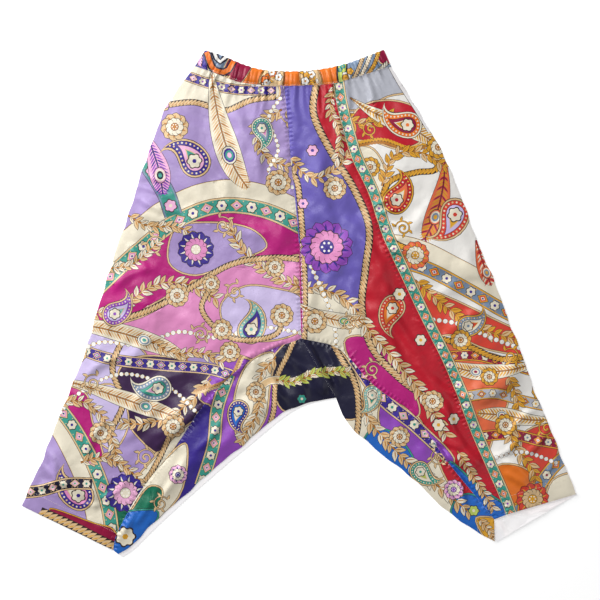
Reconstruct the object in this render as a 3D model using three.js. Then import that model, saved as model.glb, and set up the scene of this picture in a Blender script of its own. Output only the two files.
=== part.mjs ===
// Harem pants of printed satin, laid flat with the front up, in millimetres.
// X runs across the garment, Y from the hems up to the waist, Z up from the surface it lies on.
// The origin is under the middle of the garment's box. Right and left are the wearer's.
import * as THREE from 'three';

// Driving sizes of the cloth
const WALL = 1.4; // thickness of the cloth wall
const SEAM_GAP = 0.3; // space between two pieces at their seam
const FRONT_REST = 2 * WALL + SEAM_GAP; // height of the front cloth's outside where it lies flat
const EDGE_EASE = 26; // width over which the front comes down to the back at a side
const SEAM_DIP = 0.9; // depth of the valley along a sewn seam
const SEAM_DIP_WIDTH = 9; // half width of that valley
const HEM_DEPTH = 32; // depth of the turned up hem
const HEM_STEP = 0.9; // how far the turned up hem stands proud
const HEM_LOFT = 0.25; // share of the folds' height that is left at the hem's edge
const FOLD_END = 0.5; // share of a fold's height that is left at its two ends
const END_BEND = 3; // power with which a panel's curved end straightens out along it
const SWELL = { mean: 1.3, across: 0.9, along: 0.4, width: 61, length: 74, ripple: 33 };

// Driving sizes of the gathered waist
const GATHER_COLUMNS = 4; // columns of cloth across one gather
const GATHER_HEIGHT = 4.2; // height of a middling gather at the casing seam
const GATHER_REACH = 88; // how far down the leg a middling gather runs
const CASING_PUFF = 3.2; // how far the casing swells over its elastic
const CASING_ROWS = 6; // rows of cloth across the casing's height
const CASING_SCALLOP = 0.8; // how far a gather pushes the casing's top edge out
const CASING_END = 0.5; // sections of the waist over which the casing's ends come down
const CASING_RIDGE = { top: 0.35, bottom: 0.75 }; // share of a gather's height along the casing's edges
const CASING_ROUNDNESS = 0.7; // power of the casing's rounded section, where 1 is a sine
const GATHER_SPREAD = { width: 0.28, minor: 0.18, height: 0.35, reach: 0.4 }; // how uneven the gathers are
const BACK_PEEK = 8; // how far the back gusset shows beyond the front one
const PEEK_ROWS = 3; // rows of cloth over which that strip widens from nothing

// The waist from the right side to the left side: bottom and top edges of the casing
const WAIST_SECTIONS = [
  { low: [-178, 404], high: [-161, 430] },
  { low: [-145, 392], high: [-132, 421] },
  { low: [-105, 377], high: [-96, 406] },
  { low: [-67, 372], high: [-64, 397] },
  { low: [-26, 370], high: [-25, 394] },
  { low: [14, 371], high: [14, 395] },
  { low: [57, 374], high: [55, 401] },
  { low: [94, 384], high: [89, 410] },
  { low: [128, 395], high: [120, 422] },
  { low: [156, 403], high: [144, 431] },
];

// Sections from the waist down to the point where the crotch gusset starts
const UPPER_SECTIONS = [
  { rightSide: [-178, 404], rise: [-26, 370], panelSeam: [57, 374], leftSide: [156, 403] },
  { rightSide: [-203, 371], rise: [-23, 341], panelSeam: [62, 344], leftSide: [175, 371] },
  { rightSide: [-229, 329], rise: [-19, 300], panelSeam: [72, 302], leftSide: [202, 329] },
  { rightSide: [-253, 269], rise: [-15, 244], panelSeam: [89, 247], leftSide: [236, 269] },
  { rightSide: [-275, 201], rise: [-8, 181], panelSeam: [117, 188], leftSide: [268, 201] },
  { rightSide: [-300, 125], rise: [-1, 103], panelSeam: [141, 115], leftSide: [295, 125] },
  { rightSide: [-326, 48], rise: [1, 23], panelSeam: [178, 35], leftSide: [327, 48] },
  { rightSide: [-348, -28], rise: [3, -59], panelSeam: [213, -38], leftSide: [356, -28] },
];

// Sections of the right leg from the gusset's point down to the hem
const RIGHT_SECTIONS = [
  { side: [-348, -28], gusset: [3, -59], inner: [62, -160] },
  { side: [-367, -88], gusset: [-81, -94], inner: [-16, -179] },
  { side: [-388, -144], gusset: [-156, -164], inner: [-96, -240] },
  { side: [-414, -203], gusset: [-207, -237], inner: [-169, -302] },
  { side: [-435, -263], gusset: [-271, -320], inner: [-242, -368] },
  { side: [-461, -315], gusset: [-309, -388], inner: [-286, -411] },
  { side: [-472, -344], gusset: [-317, -419], inner: [-308, -426] },
];

// Sections of the left leg from the gusset's point down to the hem
const LEFT_SECTIONS = [
  { inner: [62, -160], gusset: [3, -59], panel: [213, -38], side: [356, -28] },
  { inner: [84, -206], gusset: [69, -78], panel: [241, -93], side: [377, -84] },
  { inner: [135, -252], gusset: [125, -138], panel: [265, -149], side: [397, -140] },
  { inner: [186, -292], gusset: [195, -191], panel: [286, -205], side: [420, -198] },
  { inner: [246, -348], gusset: [251, -268], panel: [309, -259], side: [440, -247] },
  { inner: [303, -390], gusset: [313, -344], panel: [340, -329], side: [459, -295] },
  { inner: [332, -404], gusset: [331, -367], panel: [351, -359], side: [470, -324] },
];

// The back of the left leg lies lower at the hem, and its wrong side shows there
const LEFT_BACK_HEM = { inner: [337, -405], gusset: [365, -387], side: [472, -325] };

// Largest folds of the front, as soft ridges from one end to the other
const FOLDS = [
  { from: [-290, 190], to: [-205, 120], width: 20, height: 4.5 },
  { from: [-205, 285], to: [-160, 165], width: 26, height: 4.0 },
  { from: [-105, 320], to: [-55, 185], width: 24, height: 3.6 },
  { from: [-345, 10], to: [-190, -40], width: 30, height: 3.6 },
  { from: [-145, -150], to: [-262, -236], width: 17, height: 5.2 },
  { from: [-430, -215], to: [-392, -325], width: 18, height: 4.2 },
  { from: [-20, -60], to: [-130, -62], width: 18, height: 3.8 },
  { from: [30, 320], to: [25, 150], width: 18, height: 3.4 },
  { from: [70, 130], to: [150, -20], width: 24, height: 3.8 },
  { from: [150, 105], to: [325, 30], width: 30, height: 5.4 },
  { from: [120, 300], to: [215, 175], width: 28, height: 3.8 },
  { from: [300, -150], to: [425, -95], width: 24, height: 3.8 },
  { from: [255, -255], to: [310, -268], width: 14, height: 4.0 },
  { from: [345, -255], to: [405, -318], width: 20, height: 4.6 },
  { from: [10, -85], to: [52, -158], width: 14, height: 3.6 },
  { from: [-150, -238], to: [-215, -300], width: 15, height: 3.2 },
];

// How many gathers each front panel has at its casing seam, and which waist sections it spans
const RIGHT_GATHERS = { count: 13, first: 0, from: 0, to: 4 };
const INNER_GATHERS = { count: 7, first: 13, from: 4, to: 6 };
const OUTER_GATHERS = { count: 9, first: 20, from: 6, to: 9 };
const BACK_RIGHT_TOP = { count: 13, from: 0, to: 4 };
const BACK_LEFT_TOP = { count: 16, from: 4, to: 9 };

// Rows of cloth down a panel, counted in sections: close together where the gathers are
const UPPER_ROWS = [0, 0.2, 0.45, 0.8, 1.2, 1.65, 2.15, 2.7, 3.25, 3.8, 4.4, 5, 5.5, 6, 6.5, 7];
const LOWER_ROWS = [0, 0.5, 1, 1.5, 2, 2.5, 3, 3.5, 4, 4.5, 5, 5.4, 5.75, 6];
const CREST_ROWS = 7; // rows that carry whole gathers
const FADING_ROWS = 9; // rows after which no gather is left

// Colours of the pieces
const COLOURS = {
  lavender: 0xb79fd6,
  periwinkle: 0x7567bd,
  ivory: 0xe8e3dc,
  indigo: 0x3c3487,
  navy: 0x2b2f55,
  orange: 0xe0742c,
  wrongSide: 0xcfc9d2,
};

function curveThrough(points) {
  const places = points.map(([x, y]) => new THREE.Vector3(x, y, 0));
  return new THREE.CatmullRomCurve3(places, false, 'catmullrom', 0.5);
}

// A curve's place at a section number, which need not be whole
function at(curve, section) {
  const place = curve.getPoint(section / (curve.points.length - 1));
  return new THREE.Vector2(place.x, place.y);
}

const column = (sections, name) => sections.map((section) => section[name]);

function between(curve, from, to) {
  return (share) => at(curve, from + share * (to - from));
}

const straight = (start, end) => (share) => start.clone().lerp(end, share);

const casing = {
  low: curveThrough(column(WAIST_SECTIONS, 'low')),
  high: curveThrough(column(WAIST_SECTIONS, 'high')),
};

// Edges of the panels, each one a list of places, a place for each row of cloth
function edge(curve, rows) {
  return rows.map((section) => at(curve, section));
}

const wholeRows = [...UPPER_ROWS, ...LOWER_ROWS.slice(1).map((row) => row + UPPER_SECTIONS.length - 1)];

function longEdge(upperName, lowerSections, lowerName) {
  const lower = column(lowerSections, lowerName).slice(1);
  return edge(curveThrough([...column(UPPER_SECTIONS, upperName), ...lower]), wholeRows);
}

// The centre seam turns a corner into the gusset seam, so the two are separate curves
function centreEdge(lowerSections) {
  const rise = edge(curveThrough(column(UPPER_SECTIONS, 'rise')), UPPER_ROWS);
  const gusset = edge(curveThrough(column(lowerSections, 'gusset')), LOWER_ROWS);
  return [...rise, ...gusset.slice(1)];
}

const lowerEdge = (sections, name) => edge(curveThrough(column(sections, name)), LOWER_ROWS);

const edges = {
  rightSide: longEdge('rightSide', RIGHT_SECTIONS, 'side'),
  rightCentre: centreEdge(RIGHT_SECTIONS),
  leftCentre: centreEdge(LEFT_SECTIONS),
  panelSeam: longEdge('panelSeam', LEFT_SECTIONS, 'panel'),
  leftSide: longEdge('leftSide', LEFT_SECTIONS, 'side'),
  rightGusset: lowerEdge(RIGHT_SECTIONS, 'gusset'),
  rightInner: lowerEdge(RIGHT_SECTIONS, 'inner'),
  leftInner: lowerEdge(LEFT_SECTIONS, 'inner'),
  leftGusset: lowerEdge(LEFT_SECTIONS, 'gusset'),
};

const smooth = (value) => THREE.MathUtils.smoothstep(value, 0, 1);

// Width, height and reach of the gathers: each one differs a little from the next
function gatherWidth(number) {
  return 1 + GATHER_SPREAD.width * Math.sin(1.9 * number) + GATHER_SPREAD.minor * Math.sin(4.1 * number + 1);
}

const gatherHeight = (number) => GATHER_HEIGHT * (0.8 + GATHER_SPREAD.height * Math.sin(2.7 * number + 0.6));
const gatherReach = (number) => GATHER_REACH * (0.8 + GATHER_SPREAD.reach * Math.sin(1.3 * number + 2));

// Places across a panel, from 0 to 1, with the same number of columns in each gather
function gatherColumns({ count, first }) {
  const widths = Array.from({ length: count }, (_, index) => gatherWidth(first + index));
  const total = widths.reduce((sum, width) => sum + width, 0);
  const places = [0];
  for (const width of widths) {
    for (let step = 0; step < GATHER_COLUMNS; step += 1) {
      places.push(places[places.length - 1] + width / total / GATHER_COLUMNS);
    }
  }
  places[places.length - 1] = 1;
  return places;
}

const evenColumns = (count) => Array.from({ length: count + 1 }, (_, index) => index / count);

// Height of a gather's ridge at a place across the panel and a distance below the casing seam
function gatherRaise({ count, first }, columns, share, below) {
  let position = 0;
  while (position < columns.length - 2 && columns[position + 1] <= share) {
    position += 1;
  }
  const step = (share - columns[position]) / (columns[position + 1] - columns[position]);
  const phase = (position + step) / GATHER_COLUMNS;
  const number = first + Math.min(count - 1, Math.floor(phase));
  const fade = Math.max(0, 1 - below / gatherReach(number));
  return gatherHeight(number) * Math.sin(Math.PI * (phase % 1)) ** 2 * fade * fade;
}

// Height of all the folds at a place on the front
function foldRaise(place) {
  let raise = 0;
  for (const { from, to, width, height } of FOLDS) {
    const start = new THREE.Vector2(...from);
    const run = new THREE.Vector2(...to).sub(start);
    const share = THREE.MathUtils.clamp(place.clone().sub(start).dot(run) / run.lengthSq(), 0, 1);
    const away = place.distanceTo(start.addScaledVector(run, share));
    const taper = FOLD_END + (1 - FOLD_END) * Math.sin(Math.PI * share);
    raise += height * taper * Math.exp(-((away / width) ** 2));
  }
  return raise;
}

// The broad swell of loose cloth over the layer below
function swell(place) {
  const broad = SWELL.across * Math.sin(place.x / SWELL.width + 0.8) * Math.cos(place.y / SWELL.length);
  return SWELL.mean + broad + SWELL.along * Math.sin(place.y / SWELL.ripple);
}

// A closed wall of cloth through rows of places, which may differ in their number of columns
function clothWall(rows) {
  const corners = [];
  const numbers = rows.map((row) => row.map((place) => corners.push(place) - 1));
  const under = corners.length;
  const triangles = [];
  const addBothSides = (a, b, c) => {
    triangles.push(a, b, c, a + under, c + under, b + under);
  };
  for (let index = 0; index < numbers.length - 1; index += 1) {
    joinRows(numbers[index], numbers[index + 1], addBothSides);
  }
  const rim = [
    ...numbers[0],
    ...numbers.slice(1).map((row) => row[row.length - 1]),
    ...numbers[numbers.length - 1].slice(0, -1).reverse(),
    ...numbers.slice(1, -1).map((row) => row[0]).reverse(),
  ];
  rim.forEach((here, index) => {
    const next = rim[(index + 1) % rim.length];
    triangles.push(here, next, next + under, here, next + under, here + under);
  });
  const positions = [];
  corners.forEach(({ x, y, z }) => positions.push(x, y, z));
  corners.forEach(({ x, y, z }) => positions.push(x, y, z - WALL));
  const geometry = new THREE.BufferGeometry();
  geometry.setAttribute('position', new THREE.Float32BufferAttribute(positions, 3));
  geometry.setIndex(triangles);
  geometry.computeVertexNormals();
  return geometry;
}

// Triangles between two rows, stepping along whichever row is behind
function joinRows(upper, lower, addTriangle) {
  const upperLast = upper.length - 1;
  const lowerLast = lower.length - 1;
  let up = 0;
  let low = 0;
  while (up < upperLast || low < lowerLast) {
    const stepUp = low === lowerLast || (up < upperLast && (up + 1) * lowerLast <= (low + 1) * upperLast);
    if (stepUp) {
      addTriangle(upper[up], lower[low], upper[up + 1]);
      up += 1;
    } else {
      addTriangle(upper[up], lower[low], lower[low + 1]);
      low += 1;
    }
  }
}

// A panel between a left and a right edge, bent at its ends to a top and a bottom line.
// A side or top that is sewn to a piece beside it keeps half the seam gap, and dips there.
function panelRows({ left, right, top, bottom, columnsOf, heightAt, sewn }) {
  const last = left.length - 1;
  const placeAt = (row, share) => {
    const down = row / last;
    const place = left[row].clone().lerp(right[row], share);
    const topBend = top(share).sub(left[0].clone().lerp(right[0], share));
    const bottomBend = bottom(share).sub(left[last].clone().lerp(right[last], share));
    place.addScaledVector(topBend, (1 - down) ** END_BEND);
    return place.addScaledVector(bottomBend, down ** END_BEND);
  };
  return left.map((_, row) => {
    const width = left[row].distanceTo(right[row]);
    return columnsOf(row).map((share) => {
      const place = placeAt(row, share);
      const height = heightAt({ place, row, share, width, topPlace: placeAt(0, share) });
      const across = placeAt(row, 1).sub(placeAt(row, 0)).normalize();
      if (share === 0 && sewn.left) {
        place.addScaledVector(across, SEAM_GAP / 2);
      }
      if (share === 1 && sewn.right) {
        place.addScaledVector(across, -SEAM_GAP / 2);
      }
      if (row === 0 && sewn.top) {
        place.addScaledVector(placeAt(1, share).sub(placeAt(0, share)).normalize(), SEAM_GAP / 2);
      }
      return new THREE.Vector3(place.x, place.y, height);
    });
  });
}

// How much of a raise is left near the sides, and how deep a sewn seam's valley is
function sideShape(share, width, sewn) {
  const fromLeft = share * width;
  const fromRight = (1 - share) * width;
  const easeLeft = sewn.left ? 1 : smooth(fromLeft / EDGE_EASE);
  const easeRight = sewn.right ? 1 : smooth(fromRight / EDGE_EASE);
  const dipLeft = sewn.left ? SEAM_DIP * (1 - smooth(fromLeft / SEAM_DIP_WIDTH)) : 0;
  const dipRight = sewn.right ? SEAM_DIP * (1 - smooth(fromRight / SEAM_DIP_WIDTH)) : 0;
  return { ease: easeLeft * easeRight, dip: dipLeft + dipRight };
}

// Rise of the cloth at the turned up hem, and how flat the cloth gets at its very edge
function hemShape(place, bottomPlace) {
  const above = place.distanceTo(bottomPlace);
  const ease = HEM_LOFT + (1 - HEM_LOFT) * smooth(above / (2 * HEM_DEPTH));
  return { ease, step: above < HEM_DEPTH ? HEM_STEP : 0 };
}

function frontLeg({ left, right, gathers, plainColumns, sewn }) {
  const top = between(casing.low, gathers.from, gathers.to);
  const last = left.length - 1;
  const bottom = straight(left[last], right[last]);
  const crests = gatherColumns(gathers);
  const fading = evenColumns(Math.round((crests.length - 1 + plainColumns) / 2));
  const plain = evenColumns(plainColumns);
  const columnsOf = (row) => {
    if (row < CREST_ROWS) {
      return crests;
    }
    return row < FADING_ROWS ? fading : plain;
  };
  const heightAt = ({ place, row, share, width, topPlace }) => {
    const side = sideShape(share, width, sewn);
    const hem = hemShape(place, bottom(share));
    const below = place.distanceTo(topPlace);
    const gather = row < FADING_ROWS ? gatherRaise(gathers, crests, share, below) : 0;
    const loose = (foldRaise(place) + swell(place)) * smooth(0.2 + below / GATHER_REACH);
    return FRONT_REST + Math.max(0, (loose + gather) * side.ease * hem.ease + hem.step - side.dip);
  };
  return clothWall(panelRows({ left, right, top, bottom, columnsOf, heightAt, sewn }));
}

function frontGusset({ left, right, columns, sewn }) {
  const last = left.length - 1;
  const top = straight(left[0], right[0]);
  const bottom = straight(left[last], right[last]);
  const heightAt = ({ place, share, width }) => {
    const side = sideShape(share, width, sewn);
    const hem = hemShape(place, bottom(share));
    const raise = (foldRaise(place) + swell(place)) * side.ease * hem.ease + hem.step - side.dip;
    return FRONT_REST + Math.max(0, raise);
  };
  const columnsOf = () => evenColumns(columns);
  return clothWall(panelRows({ left, right, top, bottom, columnsOf, heightAt, sewn }));
}

// A back panel, which lies flat on the surface
function backPanel({ left, right, top, topColumns, columns, sewn }) {
  const last = left.length - 1;
  const bottom = straight(left[last], right[last]);
  const columnsOf = (row) => evenColumns(row === 0 ? topColumns : columns);
  const heightAt = () => WALL;
  return clothWall(panelRows({ left, right, top, bottom, columnsOf, heightAt, sewn }));
}

// Half of the elastic casing, from its top edge down to its seam with the legs
function waistCasing({ groups, puff, ridged, rest }) {
  const rows = Array.from({ length: CASING_ROWS }, (_, index) => index / (CASING_ROWS - 1));
  const places = groups.flatMap((group, index) => {
    const columns = ridged ? gatherColumns(group) : evenColumns(group.count);
    const kept = index === groups.length - 1 ? columns : columns.slice(0, -1);
    return kept.map((share) => ({ group, columns, share }));
  });
  const walls = rows.map((down) => places.map(({ group, columns, share }) => {
    const section = group.from + share * (group.to - group.from);
    const high = at(casing.high, section);
    const low = at(casing.low, section);
    const across = low.clone().sub(high);
    const ridge = ridged ? gatherRaise(group, columns, share, 0) : 0;
    const scallop = (CASING_SCALLOP * ridge) / GATHER_HEIGHT * (1 - down);
    const length = across.length() - SEAM_GAP / 2 + scallop;
    const place = low.addScaledVector(across.normalize(), -SEAM_GAP / 2 - length * (1 - down));
    const bulge = puff * Math.sin(Math.PI * down) ** CASING_ROUNDNESS;
    const crest = ridge * THREE.MathUtils.lerp(CASING_RIDGE.top, CASING_RIDGE.bottom, down);
    const end = smooth(section / CASING_END) * smooth((WAIST_SECTIONS.length - 1 - section) / CASING_END);
    return new THREE.Vector3(place.x, place.y, rest + (bulge + crest) * end);
  }));
  return clothWall(walls);
}

// An edge moved away from another one, row by row
function pushedOut(points, others, distance) {
  return points.map((point, row) => {
    const outward = point.clone().sub(others[row]).normalize();
    return point.clone().addScaledVector(outward, distance * smooth(row / PEEK_ROWS));
  });
}

// Edges of the back's left leg, whose hem lies lower than the front's
function loweredHem(points, hemPlace, fromRow) {
  const last = points.length - 1;
  const drop = new THREE.Vector2(...hemPlace).sub(points[last]);
  return points.map((point, row) => {
    const share = smooth((row - fromRow) / (last - fromRow));
    return point.clone().addScaledVector(drop, share);
  });
}

const garment = new THREE.Group();

function addPiece(name, geometry, colour, roughness = 0.42) {
  const material = new THREE.MeshStandardMaterial({ color: colour, roughness, metalness: 0 });
  const mesh = new THREE.Mesh(geometry, material);
  mesh.name = name;
  garment.add(mesh);
}

const HEM_ROWS = 7; // rows over which the back's left hem drops away from the front's
const lowerStart = LOWER_ROWS.length - HEM_ROWS;
const wholeStart = wholeRows.length - HEM_ROWS;
const backEdges = {
  leftCentre: loweredHem(edges.leftCentre, LEFT_BACK_HEM.gusset, wholeStart),
  leftGusset: loweredHem(edges.leftGusset, LEFT_BACK_HEM.gusset, lowerStart),
  leftSide: loweredHem(edges.leftSide, LEFT_BACK_HEM.side, wholeStart),
  leftInner: loweredHem(edges.leftInner, LEFT_BACK_HEM.inner, lowerStart),
  rightInner: pushedOut(edges.rightInner, edges.rightGusset, BACK_PEEK),
};

addPiece('front_right_leg', frontLeg({
  left: edges.rightSide,
  right: edges.rightCentre,
  gathers: RIGHT_GATHERS,
  plainColumns: 16,
  sewn: { left: false, right: true, top: true },
}), COLOURS.lavender);

addPiece('front_left_inner', frontLeg({
  left: edges.leftCentre,
  right: edges.panelSeam,
  gathers: INNER_GATHERS,
  plainColumns: 8,
  sewn: { left: true, right: true, top: true },
}), COLOURS.periwinkle);

addPiece('front_left_outer', frontLeg({
  left: edges.panelSeam,
  right: edges.leftSide,
  gathers: OUTER_GATHERS,
  plainColumns: 10,
  sewn: { left: true, right: false, top: true },
}), COLOURS.ivory);

addPiece('front_right_gusset', frontGusset({
  left: edges.rightGusset,
  right: edges.rightInner,
  columns: 7,
  sewn: { left: true, right: false, top: true },
}), COLOURS.indigo);

addPiece('front_left_gusset', frontGusset({
  left: edges.leftInner,
  right: edges.leftGusset,
  columns: 7,
  sewn: { left: false, right: true, top: true },
}), COLOURS.navy);

addPiece('front_waistband', waistCasing({
  groups: [RIGHT_GATHERS, INNER_GATHERS, OUTER_GATHERS],
  puff: CASING_PUFF,
  ridged: true,
  rest: FRONT_REST,
}), COLOURS.orange);

addPiece('back_right_leg', backPanel({
  left: edges.rightSide,
  right: edges.rightCentre,
  top: between(casing.low, BACK_RIGHT_TOP.from, BACK_RIGHT_TOP.to),
  topColumns: BACK_RIGHT_TOP.count,
  columns: 4,
  sewn: { left: false, right: true, top: true },
}), COLOURS.wrongSide);

addPiece('back_left_leg', backPanel({
  left: backEdges.leftCentre,
  right: backEdges.leftSide,
  top: between(casing.low, BACK_LEFT_TOP.from, BACK_LEFT_TOP.to),
  topColumns: BACK_LEFT_TOP.count,
  columns: 5,
  sewn: { left: true, right: false, top: true },
}), COLOURS.wrongSide);

addPiece('back_right_gusset', backPanel({
  left: edges.rightGusset,
  right: backEdges.rightInner,
  top: straight(edges.rightGusset[0], backEdges.rightInner[0]),
  topColumns: 2,
  columns: 2,
  sewn: { left: true, right: false, top: true },
}), COLOURS.wrongSide);

addPiece('back_left_gusset', backPanel({
  left: backEdges.leftInner,
  right: backEdges.leftGusset,
  top: straight(backEdges.leftInner[0], backEdges.leftGusset[0]),
  topColumns: 2,
  columns: 2,
  sewn: { left: false, right: true, top: true },
}), COLOURS.wrongSide);

addPiece('back_waistband', waistCasing({
  groups: [BACK_RIGHT_TOP, BACK_LEFT_TOP],
  puff: 0,
  ridged: false,
  rest: WALL,
}), COLOURS.orange);

export default garment;
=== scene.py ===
"""Harem pants of printed satin, laid flat with the front up.

Sizes in the tables are in millimetres, in the part's own frame: X across the garment, Y from the
hems up to the waist, Z up. Meshes are made in metres. Right and left are the wearer's.
"""
import logging
import math
from dataclasses import dataclass
from enum import Enum
from typing import Callable, Sequence

import bpy
import numpy as np
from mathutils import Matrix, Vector
from mathutils.geometry import delaunay_2d_cdt


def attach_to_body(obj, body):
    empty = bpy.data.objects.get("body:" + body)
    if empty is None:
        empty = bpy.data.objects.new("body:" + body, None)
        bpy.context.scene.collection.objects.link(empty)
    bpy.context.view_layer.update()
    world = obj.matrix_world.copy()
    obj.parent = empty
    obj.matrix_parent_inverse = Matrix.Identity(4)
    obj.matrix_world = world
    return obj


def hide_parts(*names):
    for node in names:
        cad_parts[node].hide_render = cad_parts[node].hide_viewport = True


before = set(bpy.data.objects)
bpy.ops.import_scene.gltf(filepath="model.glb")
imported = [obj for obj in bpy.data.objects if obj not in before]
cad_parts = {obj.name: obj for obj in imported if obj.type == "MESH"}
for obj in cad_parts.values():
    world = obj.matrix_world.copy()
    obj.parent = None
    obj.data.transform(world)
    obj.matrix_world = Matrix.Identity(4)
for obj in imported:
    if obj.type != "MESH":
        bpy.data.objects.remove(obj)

LOG = logging.getLogger("harem_pants")
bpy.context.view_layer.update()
MM = 0.001  # metres in a millimetre

Point = tuple[float, float]
Row = tuple[float, ...]  # points written as one row of numbers, X and Y in turn
Height = Callable[[np.ndarray], np.ndarray]
Finishes = Sequence[bpy.types.Material]  # the right side's and the wrong side's


class Dye(Enum):
    """Colours of the print, as display values from 0 to 255."""

    LAVENDER = (170, 147, 201)
    PALE_LILAC = (207, 192, 232)
    PINK = (226, 142, 194)
    ROSE = (238, 178, 214)
    MAGENTA = (186, 24, 122)
    PLUM = (62, 36, 76)
    CREAM = (236, 227, 205)
    SAND = (224, 190, 142)
    TAN = (201, 152, 98)
    GOLD = (224, 164, 46)
    OCHRE = (186, 122, 44)
    INK = (48, 34, 36)
    TEAL = (58, 154, 138)
    SEA = (128, 186, 178)
    SLATE = (122, 142, 168)
    EMERALD = (22, 112, 84)
    COBALT = (34, 104, 196)
    PERIWINKLE = (106, 93, 180)
    INDIGO = (58, 40, 142)
    VIOLET = (146, 74, 186)
    NAVY = (28, 27, 54)
    CRIMSON = (192, 24, 44)
    VERMILION = (216, 66, 50)
    CORAL = (232, 110, 70)
    ORANGE = (232, 118, 34)
    IVORY = (238, 235, 230)
    PEARL = (250, 246, 236)
    GREY = (182, 184, 194)
    LIME = (188, 204, 98)
    WINE = (150, 16, 62)
    WRONG_SIDE = (240, 237, 238)

    @property
    def linear(self) -> tuple[float, float, float, float]:
        """The colour in linear light, as a shader takes it."""
        parts = [value / 255 for value in self.value]
        lit = [p / 12.92 if p <= 0.04045 else ((p + 0.055) / 1.055) ** 2.4 for p in parts]
        return (*lit, 1.0)


# A short name for each dye, in the order above
(LAVENDER, PALE_LILAC, PINK, ROSE, MAGENTA, PLUM, CREAM, SAND, TAN, GOLD, OCHRE, INK, TEAL, SEA, SLATE,
 EMERALD, COBALT, PERIWINKLE, INDIGO, VIOLET, NAVY, CRIMSON, VERMILION, CORAL, ORANGE, IVORY, PEARL, GREY,
 LIME, WINE, WRONG_SIDE) = Dye

# The waist from the right side to the left side: bottom and top edges of the casing
WAIST_LOW = [(-178, 404), (-145, 392), (-105, 377), (-67, 372), (-26, 370),
             (14, 371), (57, 374), (94, 384), (128, 395), (156, 403)]
WAIST_HIGH = [(-161, 430), (-132, 421), (-96, 406), (-64, 397), (-25, 394),
              (14, 395), (55, 401), (89, 410), (120, 422), (144, 431)]

# Edges of the panels, from the waist or the gusset's point down to the hem
RIGHT_SIDE = [(-178, 404), (-203, 371), (-229, 329), (-253, 269), (-275, 201), (-300, 125), (-326, 48),
              (-348, -28), (-367, -88), (-388, -144), (-414, -203), (-435, -263), (-461, -315), (-472, -344)]
RISE = [(-26, 370), (-23, 341), (-19, 300), (-15, 244), (-8, 181), (-1, 103), (1, 23), (3, -59)]
RIGHT_GUSSET = [(3, -59), (-81, -94), (-156, -164), (-207, -237), (-271, -320), (-309, -388), (-317, -419)]
RIGHT_INNER = [(62, -160), (-16, -179), (-96, -240), (-169, -302), (-242, -368), (-286, -411), (-308, -426)]
LEFT_INNER = [(62, -160), (84, -206), (135, -252), (186, -292), (246, -348), (303, -390), (332, -404)]
LEFT_GUSSET = [(3, -59), (69, -78), (125, -138), (195, -191), (251, -268), (313, -344), (331, -367)]
PANEL_SEAM = [(57, 374), (62, 344), (72, 302), (89, 247), (117, 188), (141, 115), (178, 35),
              (213, -38), (241, -93), (265, -149), (286, -205), (309, -259), (340, -329), (351, -359)]
LEFT_SIDE = [(156, 403), (175, 371), (202, 329), (236, 269), (268, 201), (295, 125), (327, 48),
             (356, -28), (377, -84), (397, -140), (420, -198), (440, -247), (459, -295), (470, -324)]
LEFT_BACK_HEM = {"inner": (337, -405), "gusset": (365, -387), "side": (472, -325)}
BACK_PEEK = 8.0  # how far the back gusset shows beyond the front one on the right leg


def smooth_path(points: Sequence[Point] | Row, steps: int = 6, closed: bool = False) -> np.ndarray:
    """Places along a smooth curve through some points.

    Args:
        points: the points that the curve passes through, as pairs or as one row of X and Y in turn.
        steps: places for each stretch between two points.
        closed: whether the curve returns to its first point.

    Returns:
        An array of places, a row for each.
    """
    knots = np.asarray(points, float).reshape(-1, 2)
    if closed:
        knots = np.vstack([knots[-1], knots, knots[:2]])
    else:
        knots = np.vstack([2 * knots[0] - knots[1], knots, 2 * knots[-1] - knots[-2]])
    before, start, end, after = knots[:-3], knots[1:-2], knots[2:-1], knots[3:]
    share = (np.arange(steps) / steps)[None, :, None]
    before, start, end, after = (part[:, None, :] for part in (before, start, end, after))
    places = 0.5 * (
        2 * start
        + (end - before) * share
        + (2 * before - 5 * start + 4 * end - after) * share**2
        + (3 * start - before - 3 * end + after) * share**3
    )
    places = places.reshape(-1, 2)
    return places if closed else np.vstack([places, knots[-2]])


def lengths_along(path: np.ndarray) -> np.ndarray:
    """Distance from a path's start to each of its places."""
    return np.concatenate([[0.0], np.cumsum(np.linalg.norm(np.diff(path, axis=0), axis=1))])


def places_at(path: np.ndarray, wanted: np.ndarray) -> np.ndarray:
    """Places on a path at some distances from its start."""
    along = lengths_along(path)
    return np.stack([np.interp(wanted, along, path[:, axis]) for axis in (0, 1)], axis=1)


def resample(path: np.ndarray, spacing: float) -> np.ndarray:
    """The same path with evenly spaced places."""
    length = lengths_along(path)[-1]
    return places_at(path, np.linspace(0, length, max(2, int(round(length / spacing)) + 1)))


def walk(path: np.ndarray, spacing: float) -> list[tuple[np.ndarray, float]]:
    """Evenly spaced places along a path, each with the path's heading there in radians."""
    length = lengths_along(path)[-1]
    count = max(1, int(length / spacing))
    wanted = (np.arange(count) + 0.5) * length / count
    run = places_at(path, wanted + 0.5) - places_at(path, wanted - 0.5)
    return list(zip(places_at(path, wanted), np.arctan2(run[:, 1], run[:, 0])))


def leftward(path: np.ndarray) -> np.ndarray:
    """The unit direction to the left of a path at each of its places."""
    run = np.gradient(path, axis=0)
    run /= np.maximum(np.linalg.norm(run, axis=1), 1e-9)[:, None]
    return np.stack([-run[:, 1], run[:, 0]], axis=1)


def axes_of(heading: float) -> tuple[np.ndarray, np.ndarray]:
    """Unit directions along a heading and to its left."""
    ahead = np.array([math.cos(heading), math.sin(heading)])
    return ahead, np.array([-ahead[1], ahead[0]])


def smoothstep(value: np.ndarray | float) -> np.ndarray | float:
    """Soft step from 0 to 1 as the value goes from 0 to 1."""
    held = np.clip(value, 0, 1)
    return held * held * (3 - 2 * held)


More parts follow.
